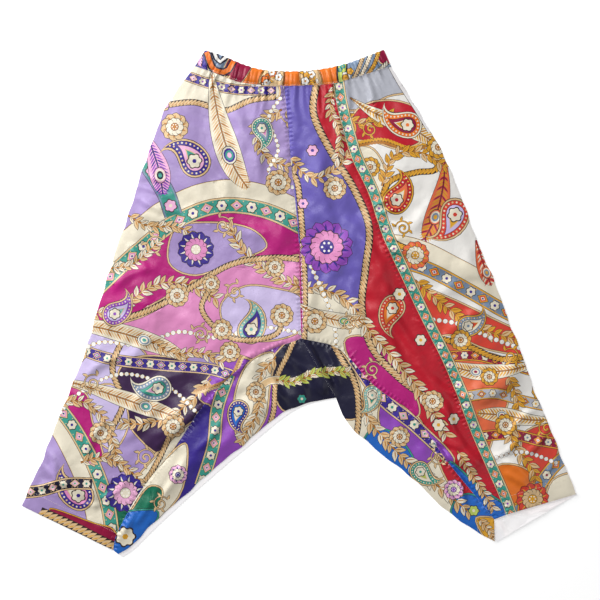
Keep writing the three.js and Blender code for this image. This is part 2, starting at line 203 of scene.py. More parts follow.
def inside(places: np.ndarray, outline: np.ndarray) -> np.ndarray:
    """Which places lie inside a closed outline.

    Args:
        places: an array of places.
        outline: the outline's corners, in order.

    Returns:
        An array with True for each place inside.
    """
    x, y = places[:, 0], places[:, 1]
    result = np.zeros(len(places), bool)
    ends = np.roll(outline, -1, axis=0)
    for (x0, y0), (x1, y1) in zip(outline, ends):
        if y0 == y1:
            continue
        crosses = (y0 > y) != (y1 > y)
        result ^= crosses & (x < (x1 - x0) * (y - y0) / (y1 - y0) + x0)
    return result


def from_path(places: np.ndarray, path: np.ndarray) -> tuple[np.ndarray, np.ndarray]:
    """Distance of each place from a path, and how far along the path its nearest point is."""
    nearest = np.full(len(places), np.inf)
    position = np.zeros(len(places))
    along = lengths_along(path)
    for index in range(len(path) - 1):
        run = path[index + 1] - path[index]
        length = float(np.hypot(*run))
        share = np.clip((places - path[index]) @ run / length**2, 0, 1)
        away = np.linalg.norm(places - path[index] - share[:, None] * run, axis=1)
        closer = away < nearest
        nearest[closer] = away[closer]
        position[closer] = along[index] + share[closer] * length
    return nearest, position


@dataclass(frozen=True)
class Shape:
    """One area of a single colour in the print."""

    outline: np.ndarray
    dye: Dye


def strip_outline(path: np.ndarray, width: float | np.ndarray) -> np.ndarray:
    """Outline of a strip of some width along a path."""
    side = leftward(path) * np.reshape(np.asarray(width) / 2, (-1, 1))
    return np.vstack([path + side, (path - side)[::-1]])


def strips(path: np.ndarray, *layers: tuple[float | np.ndarray, Dye]) -> list[Shape]:
    """Strips of some widths and colours along one path, lowest first."""
    return [Shape(strip_outline(path, width), dye) for width, dye in layers]


def disc(centre: np.ndarray, radius: float, sides: int = 8, squash: float = 1.0) -> np.ndarray:
    """A round or oval outline."""
    angles = np.arange(sides) * 2 * math.pi / sides
    return np.asarray(centre) + radius * np.stack([np.cos(angles), squash * np.sin(angles)], axis=1)


def discs(centre: np.ndarray, sides: int, *layers: tuple[float, Dye]) -> list[Shape]:
    """Discs of some radii and colours about one centre, lowest first."""
    return [Shape(disc(centre, radius, sides), dye) for radius, dye in layers]


def lobed(centre: np.ndarray, radius: float, lobes: int, turn: float) -> np.ndarray:
    """A flower's outline, with a rounded lobe for each petal."""
    angles = np.arange(lobes * 5) * 2 * math.pi / (lobes * 5)
    reach = radius * (0.66 + 0.34 * np.abs(np.cos(lobes * angles / 2)) ** 0.6)
    return centre + reach[:, None] * np.stack([np.cos(angles + turn), np.sin(angles + turn)], axis=1)


def mirrored(along: np.ndarray, half: np.ndarray) -> np.ndarray:
    """A closed outline along X, from its half widths."""
    upper = np.stack([along, half], axis=1)
    lower = np.stack([along[1:-1], -half[1:-1]], axis=1)[::-1]
    return np.vstack([upper, lower])


def leaf(base: np.ndarray, heading: float, length: float, width: float, sides: int = 4) -> np.ndarray:
    """A pointed leaf that grows from its base along a heading."""
    share = np.linspace(0, 1, sides + 1)
    half = width / 2 * np.sin(math.pi * share**0.8)
    return turned(mirrored(share * length, half), heading) + base


def petal(base: np.ndarray, heading: float, length: float, width: float, sides: int = 6) -> np.ndarray:
    """A petal that widens from its base to a rounded tip."""
    share = 1 - (1 - np.linspace(0, 1, sides + 1)) ** 1.4
    half = width / 2 * np.sin(math.pi * share**1.9) ** 0.62
    return turned(mirrored(share * length, half), heading) + base


def turned(points: np.ndarray, angle: float) -> np.ndarray:
    """Points turned about the origin by an angle in radians."""
    cosine, sine = math.cos(angle), math.sin(angle)
    return points @ np.array([[cosine, sine], [-sine, cosine]])


class Motif:
    """Something drawn in the print."""

    def shapes(self) -> list[Shape]:
        """The motif's areas, lowest first."""
        raise NotImplementedError


@dataclass(frozen=True)
class Patch(Motif):
    """A plain field of colour with a smooth outline, and a fine line round it."""

    points: Row
    dye: Dye
    line: Dye = SAND
    line_width: float = 2.4

    def shapes(self) -> list[Shape]:
        """The field and its edge line."""
        outline = smooth_path(self.points, 5, closed=True)
        loop = np.vstack([outline, outline[:1]])
        line = strips(loop, (self.line_width + 1.4, INK), (self.line_width, self.line))
        return [Shape(outline, self.dye), *line]


@dataclass(frozen=True)
class Ribbon(Motif):
    """A plain ribbon along a path, with a line along each edge."""

    path: Row
    width: float
    dye: Dye
    edge: Dye = SAND
    edge_width: float = 2.0
    ends: float = 1.0  # the ribbon's width at its ends, as a share of its width

    def shapes(self) -> list[Shape]:
        """Dark outline, edge and middle of the ribbon."""
        path = resample(smooth_path(self.path), 9)
        share = np.linspace(0, 1, len(path))
        swell = self.ends + (1 - self.ends) * np.sin(math.pi * share)
        widths = self.width * swell
        middle = np.maximum(widths - 2 * self.edge_width, 0.5)
        return strips(path, (widths + 1.6, INK), (widths, self.edge), (middle, self.dye))


@dataclass(frozen=True)
class Floret(Motif):
    """A small flower with rounded petals."""

    centre: Point
    radius: float
    petals: int = 5
    dye: Dye = CREAM
    heart: Dye = GOLD
    turn: float = 0.0

    def shapes(self) -> list[Shape]:
        """Petals with an outline, and a heart."""
        centre = np.array(self.centre, float)
        drawn = [
            Shape(lobed(centre, self.radius * scale, self.petals, self.turn), dye)
            for scale, dye in ((1.12, INK), (0.95, self.dye))
        ]
        return drawn + discs(centre, 6, (self.radius * 0.3, self.heart))


@dataclass(frozen=True)
class Rosette(Motif):
    """A full flower head with two rings of petals."""

    centre: Point
    radius: float
    petals: int = 10
    outer: Dye = SAND
    inner: Dye = CREAM
    heart: Dye = OCHRE
    turn: float = 0.2

    def shapes(self) -> list[Shape]:
        """Two rings of outlined petals, veins, and a beaded heart."""
        centre = np.array(self.centre, float)
        drawn = []
        step = 2 * math.pi / self.petals
        for number in range(self.petals):
            heading = self.turn + number * step
            width = 2.1 * self.radius * math.sin(step / 2)
            drawn.append(Shape(petal(centre, heading, self.radius + 0.9, width + 1.6, 5), INK))
            drawn.append(Shape(petal(centre, heading, self.radius, width, 5), self.outer))
            drawn.append(Shape(leaf(centre, heading + 0.07, self.radius * 0.9, width * 0.34, 3), self.heart))
        for number in range(self.petals):
            heading = self.turn + (number + 0.5) * step
            width = 1.5 * self.radius * math.sin(step / 2)
            drawn.append(Shape(petal(centre, heading, self.radius * 0.68, width + 1.2, 4), INK))
            drawn.append(Shape(petal(centre, heading, self.radius * 0.64, width, 4), self.inner))
        drawn += discs(centre, 10, (self.radius * 0.27 + 0.7, INK), (self.radius * 0.27, self.heart))
        for number in range(6):
            place = centre + self.radius * 0.17 * axes_of(number * 1.05)[0]
            drawn += discs(place, 5, (self.radius * 0.05, PEARL))
        return drawn


@dataclass(frozen=True)
class Pearls(Motif):
    """A string of round beads along a path."""

    path: Row
    size: float = 7.0
    dye: Dye = PEARL
    spacer: Dye = GOLD

    def shapes(self) -> list[Shape]:
        """Beads with an outline and a glint, with small spacers between them."""
        path = smooth_path(self.path)
        drawn = []
        for place, heading in walk(path, self.size * 1.25):
            glint = place + (-self.size * 0.13, self.size * 0.13)
            drawn += discs(place + axes_of(heading)[0] * self.size * 0.62, 6, (self.size * 0.2, self.spacer))
            drawn += discs(place, 8, (self.size / 2 + 0.5, INK), (self.size / 2, self.dye))
            drawn += discs(glint, 5, (self.size * 0.14, PEARL))
        return drawn


@dataclass(frozen=True)
class Braid(Motif):
    """A flat gold braid along a path, of two rows of leaning strands."""

    path: Row
    width: float = 11.0
    dye: Dye = SAND
    shade: Dye = TAN

    def shapes(self) -> list[Shape]:
        """A dark ground with strands that lean in towards the middle."""
        path = smooth_path(self.path)
        drawn = strips(resample(path, 5)[1:-1], (self.width * 0.9, INK))
        for place, heading in walk(path, self.width * 0.52):
            _, across = axes_of(heading)
            for side, dye in ((1, self.dye), (-1, self.shade)):
                base = place + across * side * self.width * 0.52
                lean = heading - side * 0.62
                drawn.append(Shape(leaf(base, lean, self.width * 0.95, self.width * 0.44, 4), dye))
        return drawn


@dataclass(frozen=True)
class Cord(Motif):
    """A twisted cord along a path."""

    path: Row
    width: float = 10.0
    dye: Dye = SAND
    shade: Dye = OCHRE

    def shapes(self) -> list[Shape]:
        """Slanting strands on a dark ground, each with a shaded edge."""
        path = smooth_path(self.path)
        drawn = strips(resample(path, 6), (self.width * 1.1, INK))
        for place, heading in walk(path, self.width * 0.62):
            ahead, across = axes_of(heading)
            lean = heading + 0.8
            start = place - (across * 0.5 + ahead * 0.49) * self.width
            drawn.append(Shape(leaf(start, lean, self.width * 1.4, self.width * 0.54), self.dye))
            shade = leaf(start + ahead * 0.5, lean - 0.1, self.width * 1.1, self.width * 0.14, 2)
            drawn.append(Shape(shade, self.shade))
        return drawn


@dataclass(frozen=True)
class Garland(Motif):
    """A stem with pairs of leaves along a path."""

    path: Row
    leaf_length: float = 17.0
    dye: Dye = SAND
    other: Dye = CREAM
    stem: Dye = OCHRE

    def shapes(self) -> list[Shape]:
        """The stem, its leaves with outlines and veins, and a bud between each pair."""
        path = smooth_path(self.path)
        drawn = strips(resample(path, 9), (4.0, INK), (2.4, self.stem))
        for number, (place, heading) in enumerate(walk(path, self.leaf_length * 0.62)):
            for side in (1, -1):
                lean = heading + side * (0.72 + 0.12 * math.sin(number * 1.7))
                size = self.leaf_length * (0.92 + 0.16 * math.sin(number * 2.3 + side))
                dye = self.dye if (number + (side > 0)) % 3 else self.other
                drawn.append(Shape(leaf(place, lean, size + 1.2, size * 0.44 + 1.5), INK))
                drawn.append(Shape(leaf(place, lean, size, size * 0.44), dye))
                drawn.append(Shape(leaf(place, lean + 0.08, size * 0.8, size * 0.1, 3), self.stem))
        return drawn


@dataclass(frozen=True)
class FlowerBand(Motif):
    """A ribbon that carries diamonds and small flowers in turn."""

    path: Row
    width: float = 26.0
    ground: Dye = TEAL
    edge: Dye = SAND
    diamond: Dye = PINK
    flower: Dye = CREAM
    heart: Dye = INDIGO

    def shapes(self) -> list[Shape]:
        """The ribbon with its ornaments."""
        drawn = Ribbon(self.path, self.width, self.ground, self.edge, self.width * 0.1).shapes()
        path = smooth_path(self.path)
        size = self.width * 0.36
        for number, (place, heading) in enumerate(walk(path, self.width * 0.95)):
            if number % 2:
                drawn += self.diamond_shapes(place, heading, size)
            else:
                drawn += Floret(tuple(place), size, 6, self.flower, self.heart, heading).shapes()
        for place, heading in walk(path, self.width * 0.475):
            for side in (1, -1):
                bead = place + axes_of(heading)[1] * side * self.width * 0.3
                drawn += discs(bead, 5, (self.width * 0.045, self.edge))
        return drawn

    def diamond_shapes(self, place: np.ndarray, heading: float, size: float) -> list[Shape]:
        """A diamond of nested colours."""
        nested = ((1.28, INK), (1.14, self.edge), (0.86, self.diamond), (0.5, self.flower),
                  (0.26, self.heart))
        corners = np.array([(1.0, 0), (0, 0.82), (-1.0, 0), (0, -0.82)])
        return [Shape(turned(corners * size * scale, heading) + place, dye) for scale, dye in nested]


@dataclass(frozen=True)
class Paisley(Motif):
    """A paisley: a bent drop of nested colours, beaded, with a flower in its round end."""

    centre: Point
    length: float
    turn: float
    body: Dye = INDIGO
    lining: Dye = SAND
    core: Dye = PINK
    heart: Dye = TEAL
    bend: float = 1.0

    def drop(self, scale: float, grow: float = 0.0) -> np.ndarray:
        """The drop's outline, scaled about its round end and grown by a width."""
        angles = np.linspace(0, 2 * math.pi, 30, endpoint=False)
        radius = self.length * 0.5
        x = np.cos(angles)
        y = np.sin(angles) * np.sin(angles / 2) ** 1.6 * 0.78
        points = np.stack([(x + 0.42) * scale - 0.42, y * scale], axis=1) * radius
        points += grow * points / np.maximum(np.linalg.norm(points, axis=1), 1e-6)[:, None]
        swing = self.bend * np.clip((points[:, 0] / radius + 0.6) / 1.6, 0, 1.2) ** 2
        cosine, sine = np.cos(swing), np.sin(swing)
        bent = np.stack([points[:, 0] * cosine - points[:, 1] * sine,
                         points[:, 0] * sine + points[:, 1] * cosine], axis=1)
        return turned(bent, self.turn) + np.array(self.centre)

    def shapes(self) -> list[Shape]:
        """Nested drops, a ring of beads, leaves up the tail and a flower."""
        outer = ((1.0, self.lining), (0.9, INK), (0.87, self.body))
        inner = ((0.62, INK), (0.59, self.core), (0.4, self.lining), (0.35, self.heart))
        drawn = [Shape(self.drop(1.0, 1.2), INK)] + [Shape(self.drop(scale), dye) for scale, dye in outer]
        ring = self.drop(0.76)
        for index, place in enumerate(resample(np.vstack([ring, ring[:1]]), self.length * 0.075)):
            drawn += discs(place, 6, (self.length * 0.019, self.lining if index % 2 else CREAM))
        drawn += [Shape(self.drop(scale), dye) for scale, dye in inner]
        round_end = turned(np.array([[-0.42 * self.length * 0.5, 0.0]]), self.turn)[0] + np.array(self.centre)
        drawn += Floret(tuple(round_end), self.length * 0.13, 6, CREAM, self.body, self.turn).shapes()
        return drawn


@dataclass(frozen=True)
class Feather(Motif):
    """A long feather with slanting barbs and an eye near its tip."""

    path: Row
    width: float = 32.0
    body: Dye = CREAM
    barb: Dye = SAND
    rib: Dye = OCHRE
    eye: tuple[Dye, Dye, Dye] = (INDIGO, TEAL, ROSE)
    pitch: float = 5.2  # distance from one barb to the next

    def shapes(self) -> list[Shape]:
        """The feather's vane, its barbs on both sides, its rib and its eye."""
        path = resample(smooth_path(self.path), 7)
        share = np.linspace(0, 1, len(path))
        widths = self.width * np.sin(math.pi * share**1.7) ** 0.6 + 1.5
        drawn = strips(path, (widths + 1.6, INK), (widths, self.body))
        along = lengths_along(path)
        for number, (place, heading) in enumerate(walk(path, self.pitch)):
            done = (number + 0.5) * self.pitch / along[-1]
            reach = float(np.interp(done, share, widths)) * 0.62
            for side in (1, -1):
                dye = self.barb if number % 3 else self.rib
                drawn.append(Shape(leaf(place, heading + side * 0.82, reach, 2.9, 3), dye))
        drawn += strips(path, (2.6, INK), (1.4, self.rib))
        place, heading = walk(path, along[-1] / 12)[8]
        for scale, dye in ((0.42, INK), (0.38, self.body), (0.31, self.eye[0]), (0.22, self.eye[1]),
                           (0.12, self.eye[2])):
            oval = turned(disc(np.zeros(2), self.width * scale, 12, 0.78), heading)
            drawn.append(Shape(oval + place, dye))
        return drawn


@dataclass(frozen=True)
class Scallops(Motif):
    """A row of small fans along the left side of a path."""

    path: Row
    size: float = 13.0
    dye: Dye = CREAM
    inner: Dye = GOLD

    def shapes(self) -> list[Shape]:
        """Half round fans with an inner arc and a rib line."""
        nested = ((1.1, INK), (0.98, self.dye), (0.62, INK), (0.54, self.inner), (0.26, self.dye))
        path = smooth_path(self.path)
        drawn = []
        for place, heading in walk(path, self.size):
            for scale, dye in nested:
                drawn.append(Shape(self.fan(place, heading + math.pi / 2, self.size * 0.5 * scale), dye))
        return drawn + strips(resample(path, 8), (3.4, INK), (2.0, self.inner))

    def fan(self, place: np.ndarray, facing: float, radius: float) -> np.ndarray:
        """A half disc that opens along a heading."""
        angles = facing + np.linspace(-math.pi / 2, math.pi / 2, 7)
        return place + radius * np.stack([np.cos(angles), np.sin(angles)], axis=1)


@dataclass(frozen=True)
class Curl(Motif):
    """A scroll that winds in on itself, with leaves on its outside."""

    centre: Point
    radius: float
    turn: float = 0.0
    hand: int = 1
    dye: Dye = SAND

    def shapes(self) -> list[Shape]:
        """The scroll's stroke and its leaves."""
        angles = np.linspace(0, 3.3 * math.pi, 30)
        radii = self.radius * (1.15 - angles / angles[-1])
        turns = self.turn + self.hand * angles
        path = np.array(self.centre) + np.stack([radii * np.cos(turns), radii * np.sin(turns)], axis=1)
        widths = self.radius * np.linspace(0.1, 0.2, len(path))
        drawn = strips(path, (widths + 1.5, INK), (widths, self.dye))
        for index in range(0, 15, 3):
            heading = turns[index] + self.hand * 0.7
            drawn.append(Shape(leaf(path[index], heading, self.radius * 0.8, self.radius * 0.42), INK))
            drawn.append(Shape(leaf(path[index], heading, self.radius * 0.72, self.radius * 0.32), self.dye))
        return drawn + discs(path[-1], 7, (self.radius * 0.15, self.dye))


@dataclass(frozen=True)
class Scatter(Motif):
    """Small flowers strewn over a round area."""

    centre: Point
    reach: float
    count: int
    size: float = 6.0
    dyes: tuple[Dye, ...] = (CREAM, SAND)
    seed: int = 1

    def shapes(self) -> list[Shape]:
        """The flowers, at seeded places."""
        random = np.random.default_rng(self.seed)
        drawn: list[Shape] = []
        for number in range(self.count):
            angle = random.uniform(0, 2 * math.pi)
            away = self.reach * math.sqrt(random.uniform(0, 1))
            place = (self.centre[0] + away * math.cos(angle), self.centre[1] + away * math.sin(angle))
            size = self.size * random.uniform(0.8, 1.2)
            dye = self.dyes[number % len(self.dyes)]
            drawn += Floret(place, size, 5, dye, OCHRE, angle).shapes()
        return drawn


# Driving sizes of the laid cloth
FRONT_REST = 3.1  # height of the front cloth's outside where it lies flat on the back
FRONT_CLOTH = 0.6  # thickness of the front's shell
BACK_CLOTH = 1.25  # thickness of the back's shell, which fills the space under the front
LEAST_HEIGHT = BACK_CLOTH + FRONT_CLOTH + 0.15  # the front's outside never comes lower
BACK_GAP = 0.2  # how far each back piece keeps back from its seams
EDGE_EASE = 26.0  # width over which the front comes down to the back at a side
EDGE_ROUND = 7.0  # width of the rounded fold at a side
EDGE_DROP = 0.9  # how far the cloth drops over that rounded fold
LOFT_KNEE = 5.5  # the loft flattens out above this height, and never reaches twice it

# Driving sizes of the seams and hems
SEAM_GAP = 0.03  # how far each front piece keeps back from its seams
SEAM_DIP = 1.3  # depth of the valley along a sewn seam
SEAM_DIP_WIDTH = 3.2
PUCKER_HEIGHT = 1.3  # puckers that the stitches draw up beside a seam
PUCKER_REACH = 8.5
PUCKER_PITCH = 7.6
PUCKER_STEP = 1.9  # spacing of the points that carry the puckers
PUCKER_ROWS = (1.4, 3.4, 5.8)  # their rows' distances from the seam
HEM_DEPTH = 32.0
HEM_STEP = 0.9  # how far the turned hem stands above the single cloth
HEM_LOFT = 0.25  # share of the loft that is left at a hem
HEM_ROW = 29.0  # height of the row of stitches above the hem's edge
STITCH_LIFT = 0.25  # how far the thread's middle lies above the cloth
STITCH = {"Pitch": 3.2, "Length": 2.3, "Thickness": 0.42}

# Driving sizes of the folds and the unevenness
FOLD_END = 0.5  # share of a fold's height that is left at its two ends
FOLD_DEPTH = 1.35  # the folds are this many times deeper than their table says
CREASE_DEPTH = 2.1  # the same for the finer creases
CREASE_AT_EDGE = 0.45  # share of a crease's depth that reaches an open edge or a hem
SWELL = 2.1  # mean height of the loose cloth over the layer below
BILLOWS = (3.3, 1.8, 0.45)  # heights of the broad, middle and fine unevenness
CUFF_LOFT = 1.9  # height of the folds in the back's inside, beyond the left leg's front hem
CUFF_EASE = 9.0  # width over which they rise from its edges

# Driving sizes of the gathered waist
GATHER_GROUPS = ((13, 0, 4), (7, 4, 6), (9, 6, 9))  # gathers, and the waist sections that they span
GATHER_HEIGHT = 4.5
GATHER_REACH = 88.0  # how far the gathers run down from the casing
GATHER_CENTRE = -24.0  # the gathers fan out from a line through this place on X
GATHER_FAN = 0.0031  # how fast they fan out, a slope for each millimetre from that line
CASING_CENTRE = -9.0  # the casing's pleats lean out from a line through this place on X
CASING_PUFF = 2.9  # height of the roll over the elastic
CASING_END = 0.5  # waist sections over which the roll comes down at a side
SCALLOP = 1.3  # how far each gather bulges above the casing's top edge
CASING_ROW = 0.92  # share of the way down the casing where its stitches run

# Spacing of the meshes' own points
MESH_STEP = 4.1  # on the front
BAND_STEP = 1.7  # on the gathered casing
UNDER_STEP = 6.0  # on the wrong side and on the back
LARGE_SHAPE = 40.0  # a print shape of this size may cover a piece without a point inside it
SHARP_ANGLE = math.radians(62)  # edges sharper than this are shaded as edges

# Areas of the back's and the front's cloth as shares of their outlines
BACK_RISE = 1.04
FRONT_RISE = 1.06

# Looks: scale, depth in metres and strength's name for each layer of the satin's relief, then the studio
RELIEF = ((24.0, 0.0022, "Ripple"), (85.0, 0.0006, "Ripple"), (900.0, 0.00008, "Weave"))
SHOW_THROUGH = 0.07  # share of the print that shows on the wrong side
FLOOR_GLOW = 0.34  # the studio's backlit floor
SKY = 0.15
LIGHTS = (  # name, place and size in metres, and power in watts
    ("key", (-2.15, 1.95, 1.3), 2.3, 122),
    ("top", (-0.68, 0.86, 2.5), 0.7, 21),
    ("fill", (1.7, -0.9, 2.2), 1.8, 10),
)
LENS = (85, 36)  # focal length and sensor width
CAMERA_PLACE = (0.00085, 0.0061, 2.412)


@dataclass(frozen=True)
class Fold:
    """A soft ridge in the cloth, which may bow and have a trough along one side."""

    start: Point
    end: Point
    width: float
    height: float
    trough: float = 0.0  # the trough's depth as a share of the height, and its side by sign
    bow: float = 0.0  # how far the ridge's middle bows to its left

    def raise_at(self, places: np.ndarray) -> np.ndarray:
        """Height that the fold adds at some places."""
        start, run = np.array(self.start, float), np.subtract(self.end, self.start).astype(float)
        length = float(np.hypot(*run))
        ahead = run / length
        offset = places - start
        share = offset @ ahead / length
        held = np.clip(share, 0, 1)
        across = offset @ np.array([-ahead[1], ahead[0]]) - self.bow * 4 * held * (1 - held)
        beyond = np.maximum(0, np.abs(share - 0.5) - 0.5) * length
        profile = np.exp(-((across / self.width) ** 2))
        if self.trough:
            shift = math.copysign(1.8 * self.width, self.trough)
            profile = profile - abs(self.trough) * np.exp(-(((across - shift) / (1.25 * self.width)) ** 2))
        taper = FOLD_END + (1 - FOLD_END) * np.sin(math.pi * held)
        return self.height * taper * profile * np.exp(-((beyond / self.width) ** 2))


def folded(*rows: Row) -> tuple[Fold, ...]:
    """Folds from rows of start X and Y, end X and Y, width, height, and perhaps trough and bow."""
    return tuple(Fold(row[:2], row[2:4], *row[4:]) for row in rows)


# The largest folds, as the part has them, then finer creases that only the cloth shows
FOLDS = folded(
    (-290, 190, -205, 120, 20, 4.5), (-205, 285, -160, 165, 26, 4.0), (-105, 320, -55, 185, 24, 3.6),
    (-345, 10, -190, -40, 30, 3.6), (-145, -150, -262, -236, 17, 5.2), (-430, -215, -392, -325, 18, 4.2),
    (-20, -60, -130, -62, 18, 3.8), (30, 320, 25, 150, 18, 3.4), (70, 130, 150, -20, 24, 3.8),
    (150, 105, 325, 30, 30, 5.4), (120, 300, 215, 175, 28, 3.8), (300, -150, 425, -95, 24, 3.8),
    (255, -255, 310, -268, 14, 4.0), (345, -255, 405, -318, 20, 4.6), (10, -85, 52, -158, 14, 3.6),
    (-150, -238, -215, -300, 15, 3.2),
)
CREASES = folded(
    (-166, -176, -240, -241, 6, 2.2, 0.5), (-141, -150, -238, -222, 5, 1.9, -0.5, 6),
    (-118, -120, -190, -186, 5, 1.3, 0.4, -5), (-280, 200, -232, 182, 4.5, 1.5, 0.5, 4),
    (-272, 178, -208, 154, 5, 1.7, -0.5, -5), (-262, 216, -226, 208, 4, 1.0, 0.4),
    (-429, -244, -413, -300, 5, 1.8, 0.5, 4), (-373, -341, -330, -343, 4, 1.3, 0.5),
    (-461, -320, -388, -306, 4, 1.5, -0.4, 5), (-84, -88, -129, -128, 5, 1.7, 0.5, 5),
    (-30, -66, -66, -84, 4, 1.3, 0.5), (-98, 300, -70, 210, 8, 1.4, 0.4, 10),
    (-190, 250, -120, 190, 9, 1.6, -0.4, 12), (-140, 150, -60, 120, 10, 1.3, 0.4, -12),
    (-320, 20, -250, 60, 8, 1.5, 0.4, 10), (-360, -120, -300, -90, 7, 1.5, -0.4, 6),
    (-395, -150, -350, -180, 6, 1.4, 0.4, 5), (-300, -130, -250, -60, 9, 1.2, 0.3, 12),
    (-330, -330, -290, -290, 6, 1.5, 0.4, -6), (-280, -370, -255, -330, 5, 1.4, 0.4),
    (21, -82, 61, -160, 5, 2.6, 0.6, 3), (-10, -100, 38, -150, 6, 1.5, -0.4, 6),
    (-60, -130, -20, -175, 6, 1.6, 0.4, 4), (149, 93, 243, 64, 8, 2.2, -0.5, 8),
    (236, 68, 334, 50, 9, 2.0, -0.5, -5), (128, 168, 162, 182, 3.6, 1.5, 0.5),
    (133, 150, 172, 160, 3.6, 1.4, 0.5, 3), (138, 132, 178, 134, 3.8, 1.5, 0.5),
    (146, 112, 184, 108, 3.8, 1.3, -0.5), (31, 362, 34, 322, 3.2, 1.6, 0.5),
    (44, 362, 40, 318, 3.2, 1.4, -0.5), (104, 110, 126, 78, 6, 1.4, 0.4, 4),
    (239, -257, 292, -281, 6, 2.3, 0.5, 5), (228, -236, 270, -244, 5, 1.5, -0.4, 3),
    (167, -181, 175, -209, 7, 1.9, 0.4), (190, -214, 214, -250, 6, 1.6, 0.4, 4),
    (273, -309, 282, -345, 5, 2.0, 0.5), (292, -300, 318, -350, 5, 1.6, -0.5, 4),
    (341, -266, 385, -293, 6, 2.1, 0.5, 6), (352, -290, 400, -330, 5, 1.6, -0.4, 5),
    (423, -206, 391, -251, 6, 2.2, 0.5, 5), (400, -180, 360, -220, 6, 1.5, -0.4, -6),
    (76, 369, 84, 322, 4, 1.8, 0.5, 3), (112, 374, 128, 322, 4, 1.8, -0.5, 3),
    (230, 200, 170, 120, 12, 1.6, 0.3, 14), (290, 90, 230, 10, 12, 1.7, -0.3, 14),
    (330, -10, 250, -60, 11, 1.8, 0.3, -12), (370, -90, 300, -170, 10, 1.7, 0.3, 10),
    (60, 60, 100, -40, 11, 1.6, 0.3, 10), (120, -40, 180, -130, 10, 1.7, -0.3, 10),
    (-458, -262, -424, -290, 4.5, 1.8, 0.5, 4), (-452, -240, -418, -262, 4, 1.5, -0.5, 3),
    (-440, -300, -404, -330, 4, 1.4, 0.5), (-360, -300, -348, -350, 5, 1.4, 0.4, 5),
    (-286, -180, -200, -120, 9, 1.7, 0.4, 12), (-300, -232, -232, -150, 8, 1.6, -0.4, -10),
    (-132, -196, -176, -250, 6, 1.8, 0.5, 5), (-196, -262, -236, -330, 5, 1.7, -0.5, 4),
    (-240, -310, -276, -372, 4.5, 1.5, 0.5, 3), (-266, -330, -300, -392, 4, 1.5, 0.5),
    (-300, 100, -262, 60, 8, 1.5, 0.4, 6), (-330, -200, -362, -262, 6, 1.6, 0.5, -6),
    (232, -300, 262, -344, 5, 1.8, 0.5, 4), (110, -130, 150, -190, 6, 1.6, 0.4, -5),
    (440, -240, 420, -290, 5, 1.7, 0.5, 4), (372, -230, 330, -262, 5, 1.5, 0.4, 5),
    (96, 130, 150, 20, 9, 1.6, -0.4, 8), (150, 20, 206, -90, 8, 1.6, 0.4, -8),
    (200, -100, 262, -226, 8, 1.7, -0.4, 8), (250, -180, 300, -270, 6, 1.6, 0.5, -5),
    (62, 330, 66, 240, 7, 1.5, 0.4, 5), (130, -30, 170, -100, 7, 1.4, 0.4, 6),
    (180, -20, 240, -60, 6, 1.3, -0.4, 5), (230, -130, 280, -160, 5, 1.4, 0.5, -4),
    (12, -70, 42, -152, 5, 2.2, 0.6, 6), (48, -84, 66, -150, 4.5, 1.9, -0.5, 4),
    (-26, -92, 12, -162, 6, 1.9, 0.5, 6), (-60, -100, -34, -170, 6, 1.7, -0.5, 5),
    (40, 250, 60, 120, 10, 1.4, 0.3, -8), (20, 60, 10, -40, 8, 1.2, 0.3, 6),
)


def gather_width(number: int) -> float:
    """Share of the waist that a gather takes."""
    return 1 + 0.28 * math.sin(1.9 * number) + 0.18 * math.sin(4.1 * number + 1)


